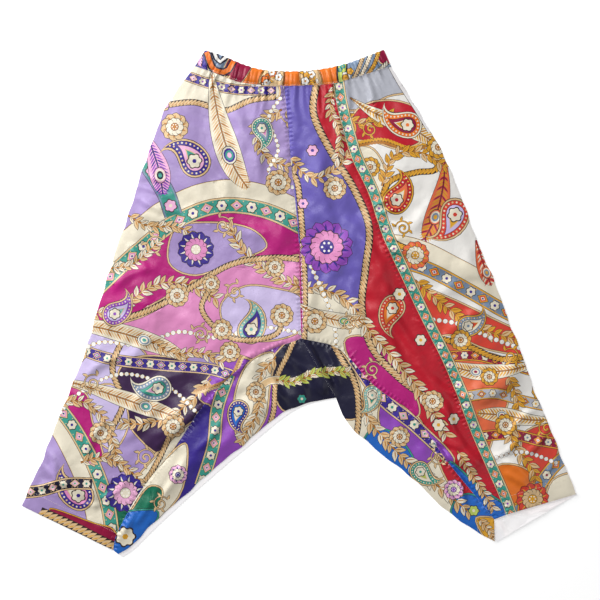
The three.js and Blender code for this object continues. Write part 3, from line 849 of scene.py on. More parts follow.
class Waist:
    """The gathered waist: where each gather lies on it, how high it stands and how far it runs."""

    def __init__(self) -> None:
        """Works out where the gathers lie on the casing's two edges."""
        self.low = smooth_path(WAIST_LOW, 40)
        self.high = smooth_path(WAIST_HIGH, 40)
        self.sections = np.linspace(0, len(WAIST_LOW) - 1, len(self.low))
        marks, number = [0.0], 0
        for count, start, end in GATHER_GROUPS:
            widths = np.array([gather_width(number + index) for index in range(count)])
            marks += list(start + (end - start) * np.cumsum(widths) / widths.sum())
            number += count
        self.marks = np.array(marks)
        numbers = np.arange(number)
        self.heights = GATHER_HEIGHT * (0.8 + 0.35 * np.sin(2.7 * numbers + 0.6))
        self.reaches = GATHER_REACH * (0.8 + 0.4 * np.sin(1.3 * numbers + 2))

    def seam(self, first: int, last: int) -> np.ndarray:
        """The casing seam between two waist sections."""
        return self.low[(self.sections >= first - 1e-9) & (self.sections <= last + 1e-9)]

    def section_at(self, x: np.ndarray) -> np.ndarray:
        """Waist section number at a place along the casing seam."""
        return np.interp(x, self.low[:, 0], self.sections)

    def phase_at(self, sections: np.ndarray) -> np.ndarray:
        """Gather number at a waist section, with how far across the gather it is."""
        return np.interp(sections, self.marks, np.arange(len(self.marks)))

    def fan(self, places: np.ndarray) -> tuple[np.ndarray, np.ndarray]:
        """Where the gather line through each place meets the casing seam, and how far below it lies."""
        start = places[:, 0]
        for _ in range(4):
            drop = np.maximum(0, np.interp(start, self.low[:, 0], self.low[:, 1]) - places[:, 1])
            start = GATHER_CENTRE + (places[:, 0] - GATHER_CENTRE) / (1 + GATHER_FAN * drop)
        return start, drop

    def raise_at(self, places: np.ndarray) -> np.ndarray:
        """Height of the gathers below the casing."""
        start, drop = self.fan(places)
        wander = 0.12 * np.sin(drop / 17 + start / 23)
        phase = self.phase_at(self.section_at(start)) + wander * smoothstep(drop / 20)
        phase = np.clip(phase, 0, len(self.heights) - 1e-6)
        number = phase.astype(int)
        fade = np.maximum(0, 1 - drop / self.reaches[number])
        ridge = np.sin(math.pi * (phase % 1)) ** 2
        half = 0.3 * np.sin(2 * math.pi * (phase * 2 % 1)) * np.exp(-drop / 16)
        return self.heights[number] * (ridge + half) * fade**2

    def casing_place(self, places: np.ndarray) -> tuple[np.ndarray, np.ndarray]:
        """Waist section of each place in the casing, and its share of the way down the casing."""
        down = np.full(len(places), 0.5)
        narrow = (self.high[-1, 0] - self.high[0, 0]) / (self.low[-1, 0] - self.low[0, 0])
        for _ in range(5):
            start = CASING_CENTRE + (places[:, 0] - CASING_CENTRE) / (narrow + (1 - narrow) * down)
            section = self.section_at(start)
            top = np.interp(section, self.sections, self.high[:, 1])
            bottom = np.interp(section, self.sections, self.low[:, 1])
            down = np.clip((top - places[:, 1]) / (top - bottom), 0, 1)
        return section, down

    def casing_height(self, places: np.ndarray) -> np.ndarray:
        """Height of the casing's outside: a soft roll over the elastic, pinched by the gathers."""
        section, down = self.casing_place(places)
        phase = self.phase_at(section) + 0.16 * (down - 0.5) * np.sin(section * 2.1)
        phase = np.clip(phase, 0, len(self.heights) - 1e-6)
        number = phase.astype(int)
        finer = np.abs(np.sin(2 * math.pi * (phase % 1) + 0.6 * np.sin(3 * section))) ** 0.5
        ridge = (0.66 * np.abs(np.sin(math.pi * (phase % 1))) ** 0.45 + 0.34 * finer) * self.heights[number]
        minor = 0.6 * np.sin(math.pi * (phase * 3 % 1)) * np.sin(section * 5 + 2) ** 2
        bulge = CASING_PUFF * np.sin(math.pi * np.clip(down, 0.02, 0.98)) ** 0.7
        last = len(WAIST_LOW) - 1
        end = smoothstep(section / CASING_END) * smoothstep((last - section) / CASING_END)
        channel = 0.5 * np.exp(-(((down - 0.9) / 0.05) ** 2))
        pleats = (ridge * (0.42 + 0.5 * down) + minor) * smoothstep(0.25 + 4 * down)
        return FRONT_REST + (bulge + pleats - channel) * end

    def outline(self, scalloped: bool) -> np.ndarray:
        """Outline of the casing, against the clock, whose top edge may bulge at each gather."""
        top = resample(self.high, 1.6)
        if scalloped:
            sections = np.interp(lengths_along(top), lengths_along(self.high), self.sections)
            bulge = SCALLOP * np.abs(np.sin(math.pi * (self.phase_at(sections) % 1))) ** 0.6
            top = top + leftward(top) * bulge[:, None]
        return np.vstack([resample(self.low, 2.2), top[::-1]])

    def build_back(self, finishes: Finishes) -> bpy.types.Object:
        """The casing's back half, flat, in its node's place."""
        cloth = Cloth("back_waistband_cloth", shrunk(self.outline(False), BACK_GAP), (), ORANGE, UNDER_STEP)
        piece = cloth.double(0.0, BACK_CLOTH, finishes)
        attach(piece, "back_waistband", "printed_satin_waist")
        return piece

    def build_front(self, finishes: Finishes, under: bpy.types.Object) -> bpy.types.Object:
        """The casing's front half, gathered, in its node's place."""
        outline = shrunk(self.outline(True), SEAM_GAP)
        shapes = shapes_for(WAISTBAND_PRINT, outline)
        cloth = Cloth("front_waistband_cloth", outline, shapes, ORANGE, BAND_STEP)
        piece = cloth.shell(self.casing_height, FRONT_CLOTH, finishes)
        attach(piece, "front_waistband", "printed_satin_waist")
        return piece


WAIST = Waist()


def swell(places: np.ndarray) -> np.ndarray:
    """The broad swell of loose cloth over the layer below."""
    x, y = places[:, 0], places[:, 1]
    return SWELL + 0.9 * np.sin(x / 61 + 0.8) * np.cos(y / 74) + 0.4 * np.sin(y / 33)


def ripple(places: np.ndarray) -> np.ndarray:
    """Unevenness of soft satin that was smoothed by hand, from broad billows to small dents."""
    x, y = places[:, 0], places[:, 1]
    broad = np.sin(x / 23 + 1.6 * np.sin(y / 41)) * np.sin(y / 27 + 1.3 * np.sin(x / 49 + 1))
    middle = np.sin((x + 0.6 * y) / 11 + 1.7 * np.sin(y / 25))
    middle *= np.sin((y - 0.5 * x) / 14 + 1.5 * np.sin(x / 31))
    fine = np.sin(x / 5.1 - y / 7.3 + 1.8 * np.sin(y / 17)) * np.sin((x + y) / 19 + 1.2 * np.sin(x / 13))
    patchy = 0.55 + 0.45 * np.sin(x / 67 + 1.1 * np.sin(y / 53)) * np.sin(y / 71 + 0.7)
    return patchy * (BILLOWS[0] * broad + BILLOWS[1] * middle + BILLOWS[2] * fine)


@dataclass
class Side:
    """One edge of a panel."""

    path: np.ndarray
    sewn: bool  # sewn to a panel beside it, or an open edge or fold over the back
    whole: np.ndarray | None = None  # the line that this edge is a part of, if it runs on past the panel


@dataclass
class Panel:
    """A cut piece of the front: its outline, its print and its form."""

    node: str
    slot: str
    left: Side
    right: Side
    ground: Dye
    motifs: Sequence[Motif]
    cut: tuple[float, float]  # width and length of the cloth it was cut from, in metres
    waist: tuple[int, int] | None = None  # the waist sections that it is gathered to, if it is

    @property
    def bottom(self) -> np.ndarray:
        """The hem's edge."""
        return np.stack([self.left.path[-1], self.right.path[-1]])

    def outline(self) -> np.ndarray:
        """The panel's outline, against the clock."""
        left, right = resample(self.left.path, MESH_STEP), resample(self.right.path, MESH_STEP)
        edge = WAIST.seam(*self.waist) if self.waist else np.stack([self.left.path[0], self.right.path[0]])
        top, bottom = resample(edge, MESH_STEP), resample(self.bottom, MESH_STEP)
        loop = np.vstack([left[:-1], bottom[:-1], right[::-1][:-1], top[::-1][:-1]])
        keep = np.linalg.norm(loop - np.roll(loop, 1, axis=0), axis=1) > 0.05
        return loop[keep]

    def height(self, places: np.ndarray) -> np.ndarray:
        """Height of the panel's outside."""
        ease = np.ones(len(places))
        dip = np.zeros(len(places))
        drop = np.zeros(len(places))
        for side in (self.left, self.right):
            away, along = from_path(places, side.path if side.whole is None else side.whole)
            if side.sewn:
                dip += SEAM_DIP * np.exp(-((away / SEAM_DIP_WIDTH) ** 2))
                beat = along / PUCKER_PITCH + 0.35 * np.sin(along / 31) + 0.2 * np.sin(along / 12.7)
                size = 0.65 + 0.35 * np.sin(along / 43 + 1)
                pucker = PUCKER_HEIGHT * size * np.sin(2 * math.pi * beat)
                dip -= pucker * np.exp(-((away / PUCKER_REACH) ** 2)) * smoothstep(away / 2.5 + 0.25)
            else:
                ease *= smoothstep(away / EDGE_EASE)
                over = np.clip(1 - away / EDGE_ROUND, 0, 1)
                drop = np.maximum(drop, EDGE_DROP * (1 - np.sqrt(np.maximum(0, 1 - over**2))))
        loose = FOLD_DEPTH * sum(fold.raise_at(places) for fold in FOLDS)
        loose = loose + swell(places) + ripple(places)
        creased = CREASE_DEPTH * sum(fold.raise_at(places) for fold in CREASES)
        raised = loose
        if self.waist:
            _, below = WAIST.fan(places)
            raised = loose * smoothstep(0.2 + below / GATHER_REACH) + WAIST.raise_at(places)
        above, _ = from_path(places, self.bottom)
        ease *= HEM_LOFT + (1 - HEM_LOFT) * smoothstep(above / (2 * HEM_DEPTH))
        step = HEM_STEP * (1 - smoothstep((above - HEM_DEPTH) / 2.5 + 0.5))
        step = step - 0.45 * np.exp(-(((above - HEM_ROW) / 1.6) ** 2))
        over = np.clip(1 - above / 2.5, 0, 1)
        drop = np.maximum(drop, 0.8 * EDGE_DROP * (1 - np.sqrt(np.maximum(0, 1 - over**2))))
        raised = raised * ease + creased * (CREASE_AT_EDGE + (1 - CREASE_AT_EDGE) * ease)
        over = np.maximum(0, raised - LOFT_KNEE) / LOFT_KNEE
        raised = np.minimum(raised, LOFT_KNEE) + LOFT_KNEE * np.tanh(over)
        height = FRONT_REST + np.maximum(0, raised) + step - dip - drop
        return np.maximum(height, LEAST_HEIGHT)

    def build(self, finishes: Finishes, under: Sequence[bpy.types.Object]) -> bpy.types.Object:
        """The panel's cloth, in its node's place, on the pieces under it."""
        outline = shrunk(self.outline(), SEAM_GAP)
        cloth = Cloth(f"{self.node}_cloth", outline, shapes_for(self.motifs, outline), self.ground, MESH_STEP,
                      seam_points((self.left, self.right), outline))
        piece = cloth.shell(self.height, FRONT_CLOTH, finishes)
        attach(piece, self.node, self.slot)
        area_of(outline) * FRONT_RISE
        return piece


def triangles_of(
    points: np.ndarray, edges: list[tuple[int, int]], outline: np.ndarray | None = None
) -> tuple[np.ndarray, np.ndarray, dict[int, int]]:
    """Triangles through some points that keep some edges.

    Args:
        points: places in the plane.
        edges: pairs of numbers of points that have to be joined.
        outline: the outline that the triangles have to lie inside, or None for the edges' own outline.

    Returns:
        The places used, the triangles as rows of three numbers of places, and the number of the
        place that each given point became.
    """
    kind = 1 if outline is None else 0
    result = delaunay_2d_cdt([Vector(point) for point in points], edges, [], kind, 1e-4)
    places = np.array([tuple(point) for point in result[0]])
    faces = np.array([tuple(face) for face in result[2] if len(face) == 3])
    if outline is not None:
        faces = faces[inside(places[faces].mean(axis=1), outline)]
    used, renumbered = np.unique(faces, return_inverse=True)
    became = {given: number for number, place in enumerate(used) for given in result[3][place]}
    return places[used], renumbered.reshape(-1, 3), became


def grid_points(outline: np.ndarray, step: float, clearance: float) -> np.ndarray:
    """Staggered rows of points inside an outline, clear of its edge."""
    low, high = outline.min(axis=0), outline.max(axis=0)
    rows = []
    for index, y in enumerate(np.arange(low[1] + step / 2, high[1], step * 0.87)):
        x = np.arange(low[0] + step * (0.5 if index % 2 else 1.0), high[0], step)
        rows.append(np.stack([x, np.full(len(x), y)], axis=1))
    points = np.vstack(rows)
    points = points[inside(points, outline)]
    away, _ = from_path(points, np.vstack([outline, outline[:1]]))
    return points[away > clearance]


def seam_points(sides: Sequence[Side], outline: np.ndarray) -> np.ndarray:
    """Close rows of points beside the sewn edges, where the cloth puckers."""
    rows = []
    for side in sides:
        if side.sewn:
            path = resample(side.path, PUCKER_STEP)
            rows += [path + offset * leftward(path) for reach in PUCKER_ROWS for offset in (reach, -reach)]
    if not rows:
        return np.empty((0, 2))
    points = np.vstack(rows)
    points = points[inside(points, outline)]
    away, _ = from_path(points, np.vstack([outline, outline[:1]]))
    return points[away > 0.5 * PUCKER_ROWS[0]]


def border_of(faces: np.ndarray) -> list[tuple[int, int]]:
    """Edges of some triangles that only one of them has, in the triangles' own direction."""
    pairs = np.vstack([faces[:, [0, 1]], faces[:, [1, 2]], faces[:, [2, 0]]])
    known = {tuple(pair) for pair in pairs.tolist()}
    return [pair for pair in known if (pair[1], pair[0]) not in known]


def dyed(centres: np.ndarray, ground: Dye, shapes: Sequence[Shape]) -> np.ndarray:
    """Colour of the topmost area at each place, in linear light."""
    colours = np.tile(np.array(ground.linear), (len(centres), 1))
    order = np.argsort(centres[:, 0])
    ranked = centres[order, 0]
    for shape in shapes:
        low, high = shape.outline.min(axis=0), shape.outline.max(axis=0)
        first, last = np.searchsorted(ranked, [low[0], high[0]])
        if first == last:
            continue
        chosen = order[first:last]
        near = chosen[(centres[chosen, 1] >= low[1]) & (centres[chosen, 1] <= high[1])]
        if len(near):
            colours[near[inside(centres[near], shape.outline)]] = shape.dye.linear
    return colours


def shapes_for(motifs: Sequence[Motif], outline: np.ndarray) -> list[Shape]:
    """The areas of some motifs that reach into an outline."""
    low, high = outline.min(axis=0), outline.max(axis=0)
    drawn = [shape for motif in motifs for shape in motif.shapes()]
    near = [
        shape for shape in drawn
        if (shape.outline.max(axis=0) > low).all() and (shape.outline.min(axis=0) < high).all()
    ]
    if not near:
        return []
    held = inside(np.vstack([shape.outline for shape in near]), outline)
    starts = np.cumsum([0] + [len(shape.outline) for shape in near[:-1]])
    reaching = np.logical_or.reduceat(held, starts)
    return [
        shape for shape, reaches in zip(near, reaching)
        if reaches or np.ptp(shape.outline, axis=0).max() > LARGE_SHAPE
    ]


def cuff_loft(places: np.ndarray) -> np.ndarray:
    """Height of the soft folds in the back's cloth where it shows beyond the left leg's front hem."""
    start, end = np.array(LEFT_GUSSET[-1], float), np.array(LEFT_SIDE[-1], float)
    ahead = (end - start) / np.hypot(*(end - start))
    offset = places - start
    below = offset @ np.array([ahead[1], -ahead[0]])
    shown = smoothstep(np.minimum(below, offset[:, 0]) / CUFF_EASE)
    along = offset @ ahead
    folds = 0.55 + 0.45 * np.sin(along / 9 + below / 7) * np.sin(along / 23 + 1)
    return CUFF_LOFT * shown * folds


class Cloth:
    """Printed cloth, cut to an outline, from which closed shells are made."""

    def __init__(self, name: str, outline: np.ndarray, shapes: Sequence[Shape], ground: Dye, step: float,
                 close: np.ndarray | None = None) -> None:
        """Cuts the cloth's triangles along the print.

        Args:
            name: the piece's name.
            outline: the cloth's outline, against the clock.
            shapes: the print's areas, lowest first.
            ground: the colour between them.
            step: spacing of the cloth's own points.
            close: further places that the triangles have to pass through.
        """
        self.name = name
        self.outline = outline
        points = [outline]
        count = len(outline)
        edges = [(index, (index + 1) % count) for index in range(count)]
        for shape in shapes:
            size = len(shape.outline)
            points.append(shape.outline)
            edges += [(count + index, count + (index + 1) % size) for index in range(size)]
            count += size
        points.append(grid_points(outline, step, step * 0.35))
        if close is not None:
            points.append(close)
        self.places, self.faces, _ = triangles_of(np.vstack(points), edges, outline)
        self.colours = dyed(self.places[self.faces].mean(axis=1), ground, shapes)

    def shell(self, height: Height, thickness: float, finishes: Finishes) -> bpy.types.Object:
        """A closed shell whose wrong side is plain and coarser than its right side.

        Args:
            height: height of the right side at some places.
            thickness: how far the wrong side lies below it.
            finishes: materials of the right side and the wrong side.

        Returns:
            The new object, in metres.
        """
        border = border_of(self.faces)
        rim = sorted({number for pair in border for number in pair})
        rank = {number: index for index, number in enumerate(rim)}
        rim_edges = [(rank[a], rank[b]) for a, b in border]
        inner = grid_points(self.outline, UNDER_STEP, UNDER_STEP * 0.4)
        below, below_faces, became = triangles_of(np.vstack([self.places[rim], inner]), rim_edges)
        upper = np.column_stack([self.places, height(self.places)])
        lowest = height(below)
        free = np.setdiff1d(np.arange(len(below)), [became[number] for number in range(len(rim))])
        for turn in np.arange(8) * math.pi / 4:
            for reach in (0.4 * UNDER_STEP, 0.8 * UNDER_STEP):
                beside = below[free] + reach * np.array([math.cos(turn), math.sin(turn)])
                lowest[free] = np.minimum(lowest[free], height(beside))
        lower = np.column_stack([below, np.maximum(lowest - thickness, BACK_CLOTH + 0.05)])
        shift = len(upper)
        walls = []
        for a, b in border:
            under_a, under_b = became[rank[a]] + shift, became[rank[b]] + shift
            walls += [(b, a, under_a), (b, under_a, under_b)]
        faces = np.vstack([self.faces, below_faces[:, ::-1] + shift, np.array(walls)])
        plain = np.tile(np.array(WRONG_SIDE.linear), (len(faces) - len(self.faces), 1))
        colours = np.vstack([self.colours, plain])
        sides = np.concatenate([np.zeros(len(self.faces), int), np.ones(len(faces) - len(self.faces), int)])
        sides[len(self.faces) + len(below_faces):] = 0
        colours[len(self.faces) + len(below_faces):] = self.rim_colours(border)
        return make_object(self.name, np.vstack([upper, lower]), faces, colours, sides, finishes)

    def double(self, low: float, thickness: float, finishes: Finishes) -> bpy.types.Object:
        """A flat closed shell with the print below and its pale show-through above."""
        count = len(self.places)
        upper = np.column_stack([self.places, low + thickness + cuff_loft(self.places)])
        lower = np.column_stack([self.places, np.full(count, low)])
        border = border_of(self.faces)
        walls = [face for a, b in border for face in ((b, a, a + count), (b, a + count, b + count))]
        faces = np.vstack([self.faces, self.faces[:, ::-1] + count, np.array(walls)])
        pale = np.array(WRONG_SIDE.linear)
        through = pale * (1 - SHOW_THROUGH) + self.colours * SHOW_THROUGH
        colours = np.vstack([through, self.colours, np.tile(pale, (len(walls), 1))])
        sides = np.concatenate([np.ones(len(self.faces), int), np.zeros(len(self.faces) + len(walls), int)])
        return make_object(self.name, np.vstack([upper, lower]), faces, colours, sides, finishes)

    def rim_colours(self, border: list[tuple[int, int]]) -> np.ndarray:
        """Colours of the rim's walls, two for each border edge, as the print beside them."""
        owners = {}
        for index, face in enumerate(self.faces.tolist()):
            for a, b in ((face[0], face[1]), (face[1], face[2]), (face[2], face[0])):
                owners[(a, b)] = index
        return np.repeat(self.colours[[owners[pair] for pair in border]], 2, axis=0)


def make_object(
    name: str,
    vertices: np.ndarray,
    faces: np.ndarray,
    colours: np.ndarray,
    sides: np.ndarray,
    finishes: Finishes,
) -> bpy.types.Object:
    """A mesh object in metres with a colour for each face and a material for each side.

    Args:
        name: the object's name.
        vertices: places in millimetres.
        faces: triangles, against the clock seen from outside.
        colours: a linear colour for each face.
        sides: the material number of each face.
        finishes: the materials.

    Returns:
        The new object.
    """
    mesh = bpy.data.meshes.new(name)
    mesh.from_pydata((vertices * MM).tolist(), [], faces.tolist())
    attribute = mesh.color_attributes.new("print", "FLOAT_COLOR", "CORNER")
    attribute.data.foreach_set("color", np.repeat(colours, 3, axis=0).astype(np.float32).ravel())
    for finish in finishes:
        mesh.materials.append(finish)
    mesh.polygons.foreach_set("material_index", sides.astype(np.int32))
    mesh.polygons.foreach_set("use_smooth", np.ones(len(faces), bool))
    mesh.update()
    mesh.set_sharp_from_angle(angle=SHARP_ANGLE)
    piece = bpy.data.objects.new(name, mesh)
    bpy.context.collection.objects.link(piece)
    return piece


# The print of each panel, lowest first: a generic design of flowers, paisleys, ribbons and cords.
# Each path is one row of X and Y in turn.
RIGHT_LEG_PRINT = (
    Patch((-230, 420, -150, 412, -50, 385, -36, 350, -84, 346, -128, 330, -176, 345, -240, 338), CREAM),
    FlowerBand((-204, 392, -160, 376, -110, 364, -40, 362), 17, INDIGO, SAND, ROSE, CREAM, VIOLET),
    Cord((-238, 336, -178, 342, -128, 328, -84, 345, -40, 352), 10),
    Patch((20, 118, -60, 150, -140, 160, -214, 132, -282, 84, -356, 20, -372, -60, -300, -30, -210, 20, -110,
        60, 20, 40), MAGENTA),
    Patch((-210, 128, -150, 138, -84, 128, -56, 96, -110, 72, -176, 48, -222, 70), LAVENDER),
    Patch((20, 70, -50, 74, -120, 62, -190, 20, -262, -20, -330, -44, -372, -86, -300, -104, -206, -92, -120,
        -84, -60, -98, 20, -76), PINK),
    Patch((-408, -60, -330, -46, -262, -84, -270, -136, -330, -160, -430, -170), PALE_LILAC),
    Patch((-292, -96, -214, -92, -140, -128, -128, -176, -176, -240, -226, -262, -282, -218, -312, -150),
        PLUM),
    Patch((-360, -150, -312, -140, -290, -200, -318, -248, -366, -206), PALE_LILAC),
    Patch((-430, -140, -366, -150, -352, -200, -334, -262, -372, -256, -404, -206), MAGENTA),
    Patch((-120, -92, -60, -96, 10, -60, -30, -120, -140, -170, -170, -150), VIOLET),
    Patch((-200, -252, -168, -214, -196, -210, -320, -350, -330, -430, -262, -360), CREAM),
    Patch((-254, -300, -222, -320, -256, -372, -320, -436, -352, -414, -330, -352), EMERALD),
    Patch((-352, -436, -300, -450, -296, -392, -336, -394), COBALT, TEAL),
    Ribbon((24, 148, -60, 186, -140, 194, -220, 166, -290, 112, -362, 44), 30, CREAM, SAND, 0.8),
    FlowerBand((24, 120, -58, 158, -136, 166, -210, 139, -277, 87, -350, 20), 26),
    Ribbon((-452, -170, -408, -216, -374, -280, -350, -352, -338, -440), 28, CREAM, SAND, 0.8),
    FlowerBand((-424, -160, -384, -210, -349, -276, -325, -346, -312, -440), 24),
    FlowerBand((-404, -64, -330, -92, -240, -104, -150, -112, -84, -136, -40, -170), 19, INDIGO, SAND, VIOLET,
        CREAM, TEAL),
    FlowerBand((-260, 240, -228, 190, -214, 150), 30, TEAL, SLATE, NAVY, ROSE, CREAM),
    Patch((-132, 2, -92, 30, -40, 26, 4, 10, 8, -40, -40, -62, -96, -60, -128, -36), PALE_LILAC),
    Garland((14, 22, -40, 46, -92, 84, -120, 132), 19),
    Garland((-372, -16, -310, -10, -250, 30, -196, 34, -140, 8), 19),
    Garland((-150, -128, -196, -176, -250, -202, -306, -204), 18),
    Cord((-346, -36, -262, -14, -190, 24, -118, 66, -46, 78, 14, 74), 10),
    Cord((-300, -60, -318, -110, -300, -170, -322, -226, -300, -286), 10),
    Cord((-216, -216, -240, -266, -266, -304, -322, -336), 9),
    Pearls((-398, -96, -340, -66, -268, -70, -206, -48, -136, -58, -70, -40, 6, -50), 8),
    Pearls((-440, -232, -384, -160, -306, -120, -226, -140, -168, -190), 7),
    Feather((-150, 404, -146, 360, -134, 300, -112, 234, -88, 196), 40, CREAM, SAND),
    Feather((-262, 292, -250, 262, -238, 224, -232, 186), 34, ROSE, VIOLET, INDIGO, (CREAM, NAVY, TEAL)),
    Feather((-452, -60, -380, -38, -310, -48, -236, -72, -190, -94), 30, CREAM, SAND, OCHRE, (SLATE, CREAM,
        TEAL)),
    Feather((-420, -128, -372, -138, -304, -160, -240, -182, -196, -196), 28, CREAM, SAND, OCHRE, (SLATE,
        TEAL, CREAM)),
    Garland((-30, 330, -72, 300, -60, 252, -20, 232), 17),
    Garland((-292, 150, -256, 132, -200, 128, -160, 96), 16),
    Garland((-430, -176, -372, -166, -330, -200, -310, -262), 16),
    Garland((-372, -270, -330, -262, -280, -292, -250, -350), 16),
    Braid((-96, -86, -120, -130, -176, -150), 9),
    Pearls((-30, 352, -52, 316, -36, 262, -52, 222, -8, 196), 7),
    Paisley((-190, 258), 96, 2.2, INDIGO, SAND, ROSE, TEAL),
    Paisley((-58, 286), 62, -1.1, TEAL, CREAM, SLATE, PINK, -1.0),
    Paisley((-300, -10), 74, 0.5, VIOLET, SAND, PALE_LILAC, SEA),
    Paisley((-256, -148), 78, 3.4, SLATE, CREAM, TEAL, ROSE, -0.9),
    Paisley((-74, -28), 84, 1.1, SEA, SAND, INDIGO, CREAM),
    Paisley((-392, -316), 92, 2.6, INDIGO, SAND, PINK, CREAM, -0.9),
    Rosette((-176, 92), 31, 12, INDIGO, PINK, CREAM), Rosette((-296, -322), 33, 12, INDIGO, ROSE, CREAM),
    Rosette((-208, 14), 20), Rosette((-36, 206), 22), Rosette((-42, 62), 17), Rosette((-338, -220), 19),
    Rosette((-214, -208), 20), Rosette((-118, -82), 18), Rosette((-378, -84), 17), Rosette((-212, 300), 24),
    Curl((-246, 98), 15, 0.6), Curl((-130, 132), 14, 2.0, -1), Curl((-352, -136), 14, 1.0),
    Curl((-168, -52), 13, 2.6, -1), Curl((-262, -262), 14, 0.2), Curl((-16, 320), 13, 3.2),
    Scatter((-238, 330), 20, 5, 7, (SAND, ROSE), 3),
    FlowerBand((-486, -322, -440, -318, -396, -306, -352, -306), 20, NAVY, SAND, ROSE, CREAM, TEAL),
    Patch((-424, -348, -352, -372, -316, -384, -306, -422, -390, -386), WINE, GOLD, 1.6),
    Cord((-440, -353, -390, -375, -308, -416), 14, SAND, GOLD),
    Garland((-330, 60, -286, 66, -240, 104), 15, CREAM, SAND),
    Cord((-150, 30, -166, -10, -130, -52, -86, -62, -40, -52, -28, -26), 9), Rosette((-30, -20), 20),
    Rosette((-132, -44), 18), Rosette((-150, 34), 15, 9), Curl((-110, 20), 13, 1.2),
    Garland((-250, -64, -216, -84, -170, -84, -130, -100), 15),
)
LEFT_INNER_PRINT = (
    Patch((34, 392, 70, 392, 96, 250, 124, 188, 150, 115, 186, 35, 222, -38, 274, -149, 318, -259, 360, -350,
        322, -352, 272, -290, 214, -212, 166, -134, 124, -76, 106, -10, 112, 60, 118, 130, 90, 196, 56, 250,
        22, 318), CRIMSON),
    Patch((-20, 6, 30, 22, 84, 0, 112, -44, 80, -94, -10, -90), CREAM),
    Patch((76, -66, 116, -56, 150, -84, 190, -140, 204, -186, 176, -190, 110, -140), MAGENTA),
    Patch((170, -172, 214, -210, 262, -262, 240, -286, 180, -214), VIOLET),
    Patch((256, -268, 306, -312, 360, -352, 340, -380, 262, -310), COBALT, TEAL),
    Cord((30, 380, 24, 322, 56, 254, 92, 196, 118, 130, 112, 60, 106, -10, 124, -76, 172, -128, 222, -164),
        12),
    Garland((-22, 20, 30, 26, 84, 2, 120, -48, 160, -92, 206, -150, 250, -226), 20),
    Cord((-24, 240, -6, 212, 0, 181, 6, 103, 9, 23, 8, -62), 10),
    Scallops((-1, 103, 2, 20, 3, -50), 8, ROSE, MAGENTA), Pearls((4, 96, 42, 14, 60, -40, 62, -90), 8),
    Garland((-20, 250, 20, 214, 58, 226, 92, 262), 18), Garland((60, 372, 52, 330, 70, 290, 66, 250), 15),
    Feather((-6, 2, 30, -18, 74, -30, 112, -26), 24, CREAM, SAND, OCHRE, (TEAL, LIME, CREAM)),
    Garland((268, -250, 300, -300, 330, -350), 15), Floret((236, -206), 11, 6, CREAM, GOLD),
    Rosette((46, 96), 45, 14, VIOLET, PINK, INDIGO), Rosette((60, 196), 20, 10, SAND, CREAM, OCHRE),
    Rosette((226, -166), 19), Rosette((26, -30), 21, 9, SAND, CREAM, OCHRE),
    Paisley((150, -22), 78, 4.2, VERMILION, SAND, ORANGE, CREAM, 0.8), Curl((124, -112), 13, 0.5),
    Curl((84, -34), 12, 2.0, -1), Floret((22, 260), 10, 6, ROSE, INDIGO),
    Floret((6, 170), 9, 6, ROSE, INDIGO), Floret((84, 318), 11, 6, CREAM, GOLD),
    Floret((170, 16), 11, 6, CREAM, GOLD), Floret((206, -62), 10, 6, CREAM, GOLD),
    Floret((262, -196), 10, 6, CREAM, GOLD),
)
